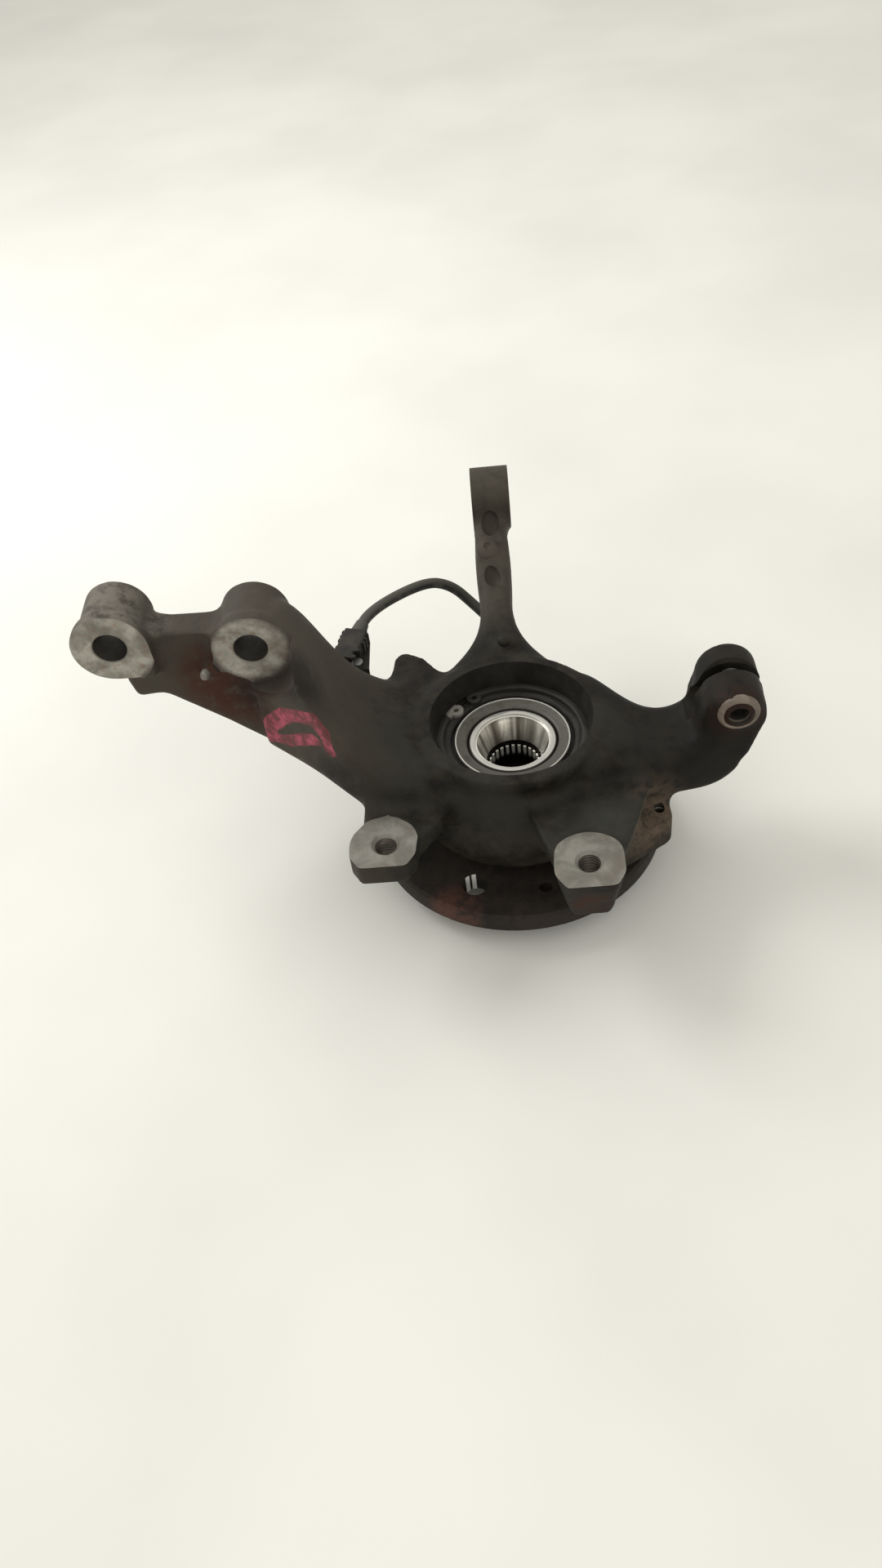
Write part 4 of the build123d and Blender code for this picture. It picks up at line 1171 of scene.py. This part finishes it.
@dataclass
class Casting:
    """The knuckle casting: blended as-cast skin, then machined pads, bores and bearing seat."""

    # As-cast skin
    voxel: float = 1.5 * MM
    fillet: float = 4.0 * MM
    smoothing: int = 10
    stock: float = 2.5 * MM
    plug_spare: float = 0.8 * MM
    # Strut bosses, caliper lugs, tie-rod eye and shield lug
    strut_y: Range = (10.0 * MM, 40.0 * MM)
    strut_reach: Range = (27.0 * MM, 17.0 * MM)
    strut_cut_reach: float = 21.0 * MM
    lug_top_z: float = 70.0 * MM
    lug_reach: Range = (19.0 * MM, 22.0 * MM)
    lug_low_z: Range = (57.6 * MM, 43.1 * MM)
    eye_width: float = 20.0 * MM
    eye_reach: float = 16.5 * MM
    eye_radii: Range = (5.95 * MM, 6.95 * MM)
    shield_z: Range = (45.0 * MM, 25.0 * MM)
    # Clamp of the ball stud, with its slot between two round ears
    pinch_y: Range = (-18.3 * MM, 21.5 * MM)
    stud_x: Range = (119.5 * MM, 87.5 * MM)
    clamp_end_x: float = 119.3 * MM
    collar: float = 2.5 * MM
    collar_y: float = -17.0 * MM
    ear_radius: float = 14.6 * MM
    ear_centre: Range = (104.5 * MM, 88.0 * MM)
    slot_x: Range = (87.5 * MM, 130.0 * MM)
    slot_half: float = 2.7 * MM
    slot_chamfer: float = 2.0 * MM
    slot_foot_x: Range = (86.5 * MM, 118.5 * MM)
    slot_foot_half: float = 4.0 * MM
    above_z: float = 120.0 * MM
    # Closed (radius, z) outline of the bearing seat, circlip groove and recess, in millimetres
    seat: tuple[Range, ...] = (
        (0.0, 5),
        (32.6, 5),
        (32.6, 33),
        (36, 33),
        (36, 70),
        (38.4, 70),
        (38.4, 72.25),
        (37, 72.25),
        (37, 77.1),
        (39.5, 84.6),
        (39.5, 110),
        (0.0, 110),
    )
    barrel_plug_z: Range = (30.5 * MM, 84.6 * MM)
    barrel_plug_radius: float = 40.5 * MM
    marks: tuple[CastMark, ...] = (
        dimple("dimple_far", -3.0, 120.5, (4.6, 7.4, 3.2), 1.0),
        dimple("dimple_near", -4.2, 93.5, (4.2, 6.4, 3.2), 1.2),
        boss("ring_boss", -5.4, 106.0, (5.8, 5.8, 2.4), -0.2),
        dimple("ring_hollow", -5.4, 106.0, (2.4, 2.4, 2.0), 0.6),
        boss("root_nub", -0.7, 53.5, (3.6, 3.2, 3.0), -0.6),
        CastMark(
            name="web_spot",
            place=(-141.8 * MM, 119.8 * MM),
            size=(2.4 * MM, 2.4 * MM, 3.4 * MM),
            depth=0.0,
            raised=True,
            side=Direction.FRONT,
            finish="pad",
        ),
    )
    faces: list[MachinedFace] = field(default_factory=list)
    bores: list[Bore] = field(default_factory=list)

    def __post_init__(self) -> None:
        """List the machined faces and bores from the record's mounts."""
        front_reach, back_reach = self.strut_reach
        for side in ("near", "far"):
            bore = self._add_bore(f"strut_bolt_{side}", Axis.Y, self.strut_y, chamfer=0.5 * MM)
            self.faces += [
                MachinedFace(
                    f"strut_{side}_front",
                    bore.start,
                    Direction.FRONT,
                    front_reach,
                    "strut_pad",
                    self.strut_cut_reach,
                ),
                MachinedFace(
                    f"strut_{side}_back", bore.end, Direction.BACK, back_reach, "strut_pad"
                ),
            ]
        lugs = zip(("left", "right"), self.lug_reach, self.lug_low_z, strict=True)
        for side, reach, low in lugs:
            name, ends = f"caliper_bolt_{side}", (self.lug_top_z, low)
            bore = self._add_bore(name, Axis.Z, ends, chamfer=1.5 * MM, threaded=True)
            self.faces.append(MachinedFace(f"caliper_{side}", bore.start, Direction.UP, reach))
        self._add_bore("pinch_bolt", Axis.Y, self.pinch_y, chamfer=0.8 * MM)
        self._add_bore("ball_stud_clamp", Axis.X, self.stud_x, chamfer=0.6 * MM)
        eye, half = mount_place("tie_rod_eye"), self.eye_width / 2
        left, right = through(eye, Axis.X, eye.x - half, eye.x + half)
        reach = self.eye_reach
        self.faces.append(MachinedFace("eye_left", left, Direction.LEFT, reach, "worn"))
        self.faces.append(MachinedFace("eye_right", right, Direction.RIGHT, reach, "worn"))
        self.bores.append(Bore("eye", left, right, *self.eye_radii))
        self._add_bore("shield_screw", Axis.Z, self.shield_z, chamfer=0.4 * MM)

    def _add_bore(
        self, name: str, axis: Axis, ends: Range, chamfer: float, threaded: bool = False
    ) -> Bore:
        """Add the bore of one mount.

        Args:
            name: the mount, which gives the bore's centre and radius.
            axis: the axis that the bore follows.
            ends: the bore's start and end along it.
            chamfer: depth of the countersink at its start.
            threaded: True for a tapped hole.

        Returns:
            The bore.
        """
        start, end = through(mount_place(name), axis, *ends)
        bore = Bore(name, start, end, mount_radius(name), chamfer=chamfer, threaded=threaded)
        self.bores.append(bore)
        return bore

    def _grow_stock(self, blank: bpy.types.Object) -> None:
        """Extrude each machined face of the blank by the stock that is later cut away.

        Args:
            blank: the plain casting.
        """
        for face in self.faces:
            pick_only(blank)
            bpy.ops.object.mode_set(mode="EDIT")
            bpy.ops.mesh.select_all(action="DESELECT")
            bpy.ops.object.mode_set(mode="OBJECT")
            facets = [polygon for polygon in blank.data.polygons if face.owns(polygon)]
            log.info("stock on %s: %d facets", face.name, len(facets))
            if not facets:
                continue
            for facet in facets:
                facet.select = True
            step = face.outward() * self.stock
            bpy.ops.object.mode_set(mode="EDIT")
            bpy.ops.mesh.select_mode(type="FACE")
            bpy.ops.mesh.extrude_region_move(TRANSFORM_OT_translate={"value": step})
            bpy.ops.object.mode_set(mode="OBJECT")

    def _plugs(self) -> list[bpy.types.Object]:
        """Return the plugs that close every hole while the skin is blended."""
        plugs = [bore.plug(self.stock, self.plug_spare) for bore in self.bores]
        barrel = through(Vector(), Axis.Z, *self.barrel_plug_z)
        plugs.append(rod("barrel_plug", *barrel, self.barrel_plug_radius, sides=96))
        stud = mount_place("ball_stud_clamp")
        ear_x, ear_z = self.ear_centre
        wide, inset, drop = self.slot_half + 2 * self.slot_chamfer, 0.2 * MM, 1 * MM
        ends = through(Vector((ear_x, 0.0, ear_z)), Axis.Y, stud.y - wide, stud.y + wide)
        plugs.append(rod("slot_plug", *ends, self.ear_radius - inset))
        foot_y = stud.y - self.slot_foot_half, stud.y + self.slot_foot_half
        plugs.append(block("slot_foot_plug", self.slot_foot_x, foot_y, (stud.z, ear_z - drop)))
        return plugs

    def _blend(self, blank: bpy.types.Object) -> None:
        """Fill the blank's inner corners with cast fillets, then round its edges."""
        blank.data.remesh_voxel_size = self.voxel
        pick_only(blank)
        bpy.ops.object.voxel_remesh()
        for offset in (self.fillet, -self.fillet):
            grow = blank.modifiers.new("grow", "DISPLACE")
            grow.mid_level = 0.0
            grow.strength = offset
            apply_all(blank)
            blank.data.remesh_voxel_size = self.voxel
            bpy.ops.object.voxel_remesh()
        smooth(blank, self.smoothing)

    def build(self, finishes: dict[str, bpy.types.Material]) -> None:
        """Build the casting in place of its CAD node.

        Args:
            finishes: the materials by name.
        """
        blank = merged_copy("knuckle_casting", "cast_knuckle")
        self._grow_stock(blank)
        plugs = self._plugs()
        pick_only(blank)
        for plug in plugs:
            plug.select_set(True)
        bpy.ops.object.join()
        self._blend(blank)
        blank.data.materials.append(finishes["cast"])
        for mark in self.marks:
            carve(blank, mark.tool(blank), finishes[mark.finish], add=mark.raised)
        smooth(blank, 1)
        carve(blank, self._clamp_end(), finishes["cast"])
        for face in self.faces:
            carve(blank, face.cutter(), finishes[face.finish])
        seat = lathe("seat_cutter", [(radius * MM, z * MM) for radius, z in self.seat])
        carve(blank, seat, finishes["turned"])
        for bore in self.bores:
            carve(blank, bore.drill(), finishes["thread" if bore.threaded else "bore"])
            if bore.chamfer:
                carve(blank, bore.countersink(), finishes["pad"])
        carve(blank, self._pinch_collar(), finishes["worn"], add=True)
        carve(blank, self._slot(), finishes["cast"])
        carve(blank, self._slot_edge(), finishes["cast"])
        soften_shading(blank, degrees=35.0)
        show(blank, Body.KNUCKLE, "knuckle_casting")

    def _clamp_end(self) -> bpy.types.Object:
        """Return the cutter that trims the clamp's outer end flat."""
        depth, half, low = 20 * MM, 40 * MM, 50 * MM
        x = self.clamp_end_x, self.clamp_end_x + depth
        return block("clamp_end_cutter", x, (-half, half), (low, self.above_z))

    def _slot(self) -> bpy.types.Object:
        """Return the cutter for the clamp's slot, from the stud's bore up and outwards."""
        stud = mount_place("ball_stud_clamp")
        y = stud.y - self.slot_half, stud.y + self.slot_half
        return block("slot_cutter", self.slot_x, y, (stud.z, self.above_z))

    def _pinch_collar(self) -> bpy.types.Object:
        """Return the rounded collar round the mouth of the pinch bolt's hole."""
        pinch = mount_place("pinch_bolt")
        bpy.ops.object.select_all(action="DESELECT")
        bpy.ops.mesh.primitive_torus_add(
            major_radius=mount_radius("pinch_bolt") + self.collar,
            minor_radius=self.collar,
            major_segments=72,
            minor_segments=24,
            location=(pinch.x, self.collar_y, pinch.z),
            rotation=(math.pi / 2, 0, 0),
        )
        return settled("pinch_collar")

    def _slot_edge(self) -> bpy.types.Object:
        """Return the cutter that breaks the slot's edges, deepest over the top of the ears."""
        middle = mount_place("ball_stud_clamp").y
        ear_x, ear_z = self.ear_centre
        drop = step = 2 * self.slot_chamfer
        ear_z -= drop
        inner = self.ear_radius - self.slot_chamfer + drop
        half = self.slot_half
        outline = [(inner, half), (inner + step, half + step)]
        outline += [(radius, -height) for radius, height in reversed(outline)]
        ring = lathe("slot_edge_cutter", outline, steps=120)
        ring.rotation_euler = (math.pi / 2, 0, 0)
        ring.location = (ear_x, middle, ear_z)
        bpy.context.view_layer.objects.active = ring
        settled(ring.name)
        reach, wide, over = 40 * MM, 20 * MM, 1 * MM
        x, y = (ear_x - reach, ear_x + reach), (middle - wide, middle + wide)
        carve(ring, block("slot_edge_limit", x, y, (ear_z - reach, ear_z + over)))
        return ring


# Hub and bearing
# ---------------


@dataclass
class DressedCopy:
    """A CAD node carried over as a welded copy with its sharp edges broken."""

    node: str
    name: str
    body: Body
    slot: str
    finish: str
    edge: float
    segments: int = 2
    # Angles in degrees: facets merged below, edges broken above, shading kept smooth below
    flat_angle: float = 0.6
    edge_angle: float = 40.0
    smooth_angle: float = 30.0

    def build(self, finishes: dict[str, bpy.types.Material]) -> None:
        """Build the piece in place of its CAD node.

        Args:
            finishes: the materials by name.
        """
        piece = merged_copy(self.node, self.name)
        tidy = piece.modifiers.new("tidy", "DECIMATE")
        tidy.decimate_type = "DISSOLVE"
        tidy.angle_limit = math.radians(self.flat_angle)
        bevel = piece.modifiers.new("edge", "BEVEL")
        bevel.width = self.edge
        bevel.segments = self.segments
        bevel.limit_method = "ANGLE"
        bevel.angle_limit = math.radians(self.edge_angle)
        bevel.use_clamp_overlap = True
        apply_all(piece)
        piece.data.materials.append(finishes[self.finish])
        soften_shading(piece, self.smooth_angle)
        show(piece, self.body, self.node)


def dress_node(node: str, material: bpy.types.Material) -> None:
    """Give a carried-over CAD node its material.

    Args:
        node: the CAD node.
        material: the material for all its slots.
    """
    thing = frame["nodes"][node]
    if not thing.material_slots:
        thing.data.materials.append(material)
    for slot in thing.material_slots:
        slot.material = material
    log.info("%s keeps its solid, in %s", node, material.name)


@dataclass
class HubAndBearing:
    """The wheel hub and everything of the bearing that turns with it or holds it."""

    copies: tuple[DressedCopy, ...] = (
        DressedCopy("wheel_hub", "dressed_hub", Body.HUB, "hub_steel", "hub", 0.3 * MM),
        DressedCopy(
            "bearing_inner_ring_inboard",
            "ground_inner_ring",
            Body.HUB,
            "bearing_steel",
            "nose_ring",
            0.2 * MM,
        ),
        DressedCopy(
            "flinger_inboard", "pressed_flinger", Body.HUB, "flinger_steel", "pressed", 0.12 * MM
        ),
        DressedCopy(
            "bearing_circlip", "sprung_circlip", Body.KNUCKLE, "spring_steel", "spring", 0.2 * MM
        ),
        DressedCopy(
            "bearing_outer_ring",
            "ground_outer_ring",
            Body.KNUCKLE,
            "bearing_steel",
            "greasy_shaded_ring",
            0.2 * MM,
        ),
    )
    plain: tuple[tuple[str, str], ...] = (
        ("bearing_inner_ring_outboard", "bright"),
        ("flinger_outboard", "pressed"),
        ("bearing_balls_inboard", "ball"),
        ("bearing_balls_outboard", "ball"),
        ("bearing_cage_inboard", "cage"),
        ("bearing_cage_outboard", "cage"),
        ("bearing_seal_inboard", "rubber"),
        ("bearing_seal_outboard", "rubber"),
    )

    def build(self, finishes: dict[str, bpy.types.Material]) -> None:
        """Dress the visible pieces and give the carried-over nodes their materials.

        Args:
            finishes: the materials by name.
        """
        for copy in self.copies:
            copy.build(finishes)
        for node, finish in self.plain:
            dress_node(node, finishes[finish])


# Sensor and lead
# ---------------


@dataclass
class SensorLead:
    """The wheel speed sensor, its lead on one smooth line, and the connector on its bracket."""

    radius: float = 2.8 * MM
    route: tuple[Point, ...] = (
        (-0.0040, 0.0895, 0.0579),
        (-0.0040, 0.1015, 0.0579),
        (-0.0160, 0.1120, 0.0660),
        (-0.0270, 0.1160, 0.0770),
        (-0.0410, 0.1125, 0.0835),
        (-0.06936, 0.07795, 0.0940),
        (-0.07239, 0.06738, 0.0940),
    )
    # Node, piece, slot, finish, edge and edge segments
    pieces: tuple[tuple[str, str, str, str, float, int], ...] = (
        ("lead_connector", "moulded_connector", "sensor_plastic", "plastic", 0.4 * MM, 2),
        ("cable_bracket", "folded_bracket", "bracket_metal", "coated", 0.3 * MM, 2),
        ("connector_rivet", "domed_rivet", "screw_steel", "zinc", 0.5 * MM, 3),
        ("bracket_screw", "bracket_bolt", "screw_steel", "zinc", 0.3 * MM, 2),
        ("sensor_screw", "sensor_bolt", "screw_steel", "zinc", 0.3 * MM, 2),
        ("wheel_speed_sensor", "moulded_sensor", "sensor_plastic", "plastic", 0.3 * MM, 2),
        ("lead_boot", "moulded_boot", "lead_rubber", "lead", 0.3 * MM, 2),
        ("sensor_boot", "moulded_outlet", "lead_rubber", "lead", 0.3 * MM, 2),
    )

    def build(self, finishes: dict[str, bpy.types.Material]) -> None:
        """Dress the sensor's pieces and draw the lead.

        Args:
            finishes: the materials by name.
        """
        for node, name, *details in self.pieces:
            DressedCopy(node, name, Body.KNUCKLE, *details).build(finishes)
        dress_node("sensor_bushing", finishes["brass"])
        dress_node("sensor_o_ring", finishes["rubber"])
        self._lead(finishes["lead"])

    def _lead(self, finish: bpy.types.Material) -> None:
        """Draw the sheathed lead, a tube along one spline from the sensor to the connector.

        Args:
            finish: the sheath's material.
        """
        curve = bpy.data.curves.new("sheathed_lead", "CURVE")
        curve.dimensions = "3D"
        curve.bevel_depth = self.radius
        curve.bevel_resolution = 7
        curve.resolution_u = 24
        curve.use_fill_caps = True
        spline = curve.splines.new("NURBS")
        spline.points.add(len(self.route) - 1)
        for point, place in zip(spline.points, self.route, strict=True):
            point.co = (*place, 1.0)
        spline.order_u = 3
        spline.use_endpoint_u = True
        lead = bpy.data.objects.new("sheathed_lead", curve)
        bpy.context.scene.collection.objects.link(lead)
        pick_only(lead)
        bpy.ops.object.convert(target="MESH")
        lead = bpy.context.active_object
        lead.data.materials.clear()
        lead.data.materials.append(finish)
        soften_shading(lead, degrees=40.0)
        show(lead, Body.KNUCKLE, "sensor_cable")


# Studio
# ------


@dataclass(frozen=True)
class SoftLamp:
    """A square soft lamp that faces the part."""

    name: str
    place: Point
    size: float
    watts: float
    aim: Point = (0.0, 0.0, 0.06)

    def build(self) -> None:
        """Hang the lamp."""
        data = bpy.data.lights.new(self.name, "AREA")
        data.size = self.size
        data.energy = self.watts
        lamp = bpy.data.objects.new(self.name, data)
        lamp.location = self.place
        towards = Vector(self.aim) - Vector(self.place)
        lamp.rotation_euler = towards.to_track_quat("-Z", "Y").to_euler()
        bpy.context.scene.collection.objects.link(lamp)


@dataclass(frozen=True)
class Studio:
    """Pale floor, soft lamps and the camera."""

    eye: Point = (0.0, -0.4578, 0.5159)
    right: Point = (0.99542113, -0.01559585, -0.09430555)
    up: Point = (0.07658016, 0.72054761, 0.68916371)
    forward: Point = (-0.05720354, 0.69323005, -0.71844265)
    lens_mm: float = 30.0
    sensor_mm: float = 36.0
    nearest: float = 0.01
    daylight: Colour = (0.90, 0.890, 0.840)
    daylight_strength: float = 0.85
    pale: Colour = (0.860, 0.852, 0.790)
    dusty_pale: Colour = (0.780, 0.772, 0.722)
    floor_size: float = 6.0
    floor_patch: float = 0.25
    floor_roughness: float = 0.85
    lamps: tuple[SoftLamp, ...] = (
        SoftLamp("key", (-0.75, 0.50, 0.85), 0.6, 7.0),
        SoftLamp("fill", (0.45, -0.75, 0.75), 0.9, 1.2),
    )

    def build(self) -> None:
        """Build the floor, lamps, world and camera."""
        bpy.context.scene.view_settings.view_transform = "Standard"
        self._floor()
        self._world()
        for lamp in self.lamps:
            lamp.build()
        self._camera()

    def _floor(self) -> None:
        """Lay the floor under the hub's pilot."""
        bpy.ops.object.select_all(action="DESELECT")
        bpy.ops.mesh.primitive_plane_add(size=self.floor_size, location=(0, 0, 0))
        floor = bpy.context.active_object
        floor.name = "floor"
        shade = Shade("pale_floor")
        patches = shade.ramp(shade.noise(self.floor_patch, 3.0, 0.5), 0.3, 0.7)
        tint = shade.mix(patches, self.pale, self.dusty_pale)
        floor.data.materials.append(shade.finish(Base_Color=tint, Roughness=self.floor_roughness))

    def _world(self) -> None:
        """Light the scene evenly from all round."""
        world = bpy.data.worlds.new("studio")
        bpy.context.scene.world = world
        world.use_nodes = True
        light = world.node_tree.nodes["Background"]
        light.inputs["Color"].default_value = (*self.daylight, 1.0)
        light.inputs["Strength"].default_value = self.daylight_strength

    def _camera(self) -> None:
        """Place the camera in front of and above the part."""
        data = bpy.data.cameras.new("camera")
        data.lens = self.lens_mm
        data.sensor_width = self.sensor_mm
        data.clip_start = self.nearest
        camera = bpy.data.objects.new("camera", data)
        turn = Matrix((self.right, self.up, [-v for v in self.forward])).transposed().to_4x4()
        camera.matrix_world = Matrix.Translation(self.eye) @ turn
        bpy.context.scene.collection.objects.link(camera)
        bpy.context.scene.camera = camera


def make_finishes() -> dict[str, bpy.types.Material]:
    """Return every material by the name that the pieces use."""
    finishes = {
        "cast": CastIronFinish(),
        "pad": MachinedFinish(
            "machined_pad",
            light=(0.246, 0.235, 0.205),
            dark=(0.149, 0.140, 0.117),
            rust_share=0.15,
            metallic=0.30,
            roughness=0.48,
        ),
        "strut_pad": MachinedFinish(
            "machined_strut_pad",
            light=(0.350, 0.336, 0.294),
            dark=(0.150, 0.134, 0.110),
            rust_share=0.35,
            metallic=0.30,
            roughness=0.50,
            clean_round=(-0.118, 0.131, 0.0165),
        ),
        # Grease and painted shade: the turned recess is far darker than the other machined faces
        "turned": MachinedFinish(
            "turned_recess",
            light=(0.0246, 0.0226, 0.0194),
            dark=(0.0140, 0.0126, 0.0109),
            rust=(0.0186, 0.0120, 0.0080),
            rust_share=0.3,
            metallic=0.1,
            roughness=0.7,
            specular=0.12,
        ),
        "worn": MachinedFinish(
            "worn_face",
            light=(0.200, 0.160, 0.126),
            dark=(0.0998, 0.0758, 0.0585),
            rust=(0.106, 0.0665, 0.0452),
            rust_share=0.35,
            metallic=0.15,
            roughness=0.55,
        ),
        "thread": MachinedFinish(
            "tapped_thread",
            light=(0.200, 0.176, 0.144),
            dark=(0.0665, 0.0559, 0.0439),
            rust_share=0.25,
            metallic=0.55,
            roughness=0.38,
            thread_pitch=1.75 * MM,
        ),
        "bore": MachinedFinish(
            "drilled_bore",
            light=(0.0798, 0.0718, 0.0585),
            dark=(0.0333, 0.0293, 0.0239),
            rust=(0.0665, 0.0399, 0.0266),
            rust_share=0.4,
            metallic=0.3,
            roughness=0.5,
        ),
        "hub": HubFinish(),
        "bright": SteelFinish(
            "ground_steel",
            (0.80, 0.79, 0.76),
            (0.599, 0.559, 0.505),
            stain_share=0.3,
            roughness=0.20,
        ),
        # Painted shade on the inner ring's outer rim, in the groove by the flinger
        "nose_ring": SteelFinish(
            "ground_nose",
            (0.58, 0.57, 0.53),
            (0.532, 0.505, 0.452),
            stain_share=0.3,
            roughness=0.25,
            metallic=0.7,
            rim_from=0.0209,
            rim_light_and_shade=(0.0266, 0.0239, 0.0199),
        ),
        # Painted highlight on the flinger's outer rim
        "pressed": SteelFinish(
            "pressed_steel",
            (0.101, 0.0944, 0.0798),
            (0.0452, 0.0372, 0.0293),
            stain_share=0.6,
            roughness=0.42,
            metallic=0.4,
            rim_from=0.0275,
            rim_light_and_shade=(0.58, 0.57, 0.52),
        ),
        # Grease and painted shade: the bearing's outer ring, down in the recess, is made dark
        "greasy_shaded_ring": SteelFinish(
            "greasy_shaded_steel",
            (0.0266, 0.0253, 0.0213),
            (0.0160, 0.0133, 0.0106),
            stain_share=0.5,
            roughness=0.5,
            metallic=0.3,
        ),
        # Painted shade on the circlip down in the recess, with a painted highlight on its lit ear
        "spring": SteelFinish(
            "spring_steel",
            (0.0346, 0.0319, 0.0266),
            (0.0186, 0.0146, 0.0120),
            stain_share=0.6,
            roughness=0.5,
            metallic=0.3,
            spot=(-0.0270, 0.0200, 0.0722, 0.0060),
        ),
        "ball": SteelFinish(
            "ball_steel",
            (0.85, 0.85, 0.85),
            (0.80, 0.80, 0.80),
            stain_share=0.1,
            roughness=0.08,
        ),
        "zinc": SteelFinish(
            "zinc_plate",
            (0.319, 0.313, 0.293),
            (0.160, 0.133, 0.106),
            stain_share=0.5,
            roughness=0.45,
        ),
        "brass": SteelFinish(
            "turned_brass",
            (0.62, 0.46, 0.20),
            (0.465, 0.319, 0.133),
            stain_share=0.4,
            roughness=0.35,
        ),
        "cage": MouldedFinish(
            "cage_plastic",
            (0.55, 0.42, 0.24),
            (0.532, 0.399, 0.239),
            dust_and_light_share=0.4,
            roughness=0.5,
        ),
        "rubber": MouldedFinish(
            "seal_rubber",
            (0.0293, 0.0279, 0.0253),
            (0.0798, 0.0732, 0.0599),
            dust_and_light_share=0.5,
            roughness=0.55,
        ),
        # Painted highlight on the lead's upper side, by its top share
        "lead": MouldedFinish(
            "lead_rubber",
            (0.0133, 0.0120, 0.0106),
            (0.113, 0.108, 0.0918),
            dust_and_light_share=0.60,
            roughness=0.60,
            top_highlight_share=1.1,
        ),
        "plastic": MouldedFinish(
            "black_plastic",
            (0.018, 0.016, 0.013),
            (0.062, 0.055, 0.044),
            dust_and_light_share=0.6,
            roughness=0.6,
        ),
        "coated": MouldedFinish(
            "coated_sheet",
            (0.0293, 0.0266, 0.0226),
            (0.0665, 0.0492, 0.0333),
            dust_and_light_share=0.5,
            roughness=0.5,
        ),
    }
    return {name: finish.build() for name, finish in finishes.items()}


def plain(box: Iterable[Iterable[float]]) -> list[list[float]]:
    """Return a box as plain lists of numbers."""
    return [[float(value) for value in corner] for corner in box]


def main() -> None:
    """Build every sub-assembly in order."""
    logging.basicConfig(level=logging.INFO, format="%(message)s")
    finishes = make_finishes()
    Casting().build(finishes)
    HubAndBearing().build(finishes)
    SensorLead().build(finishes)
    Studio().build()


if __name__ == "__main__":
    main()
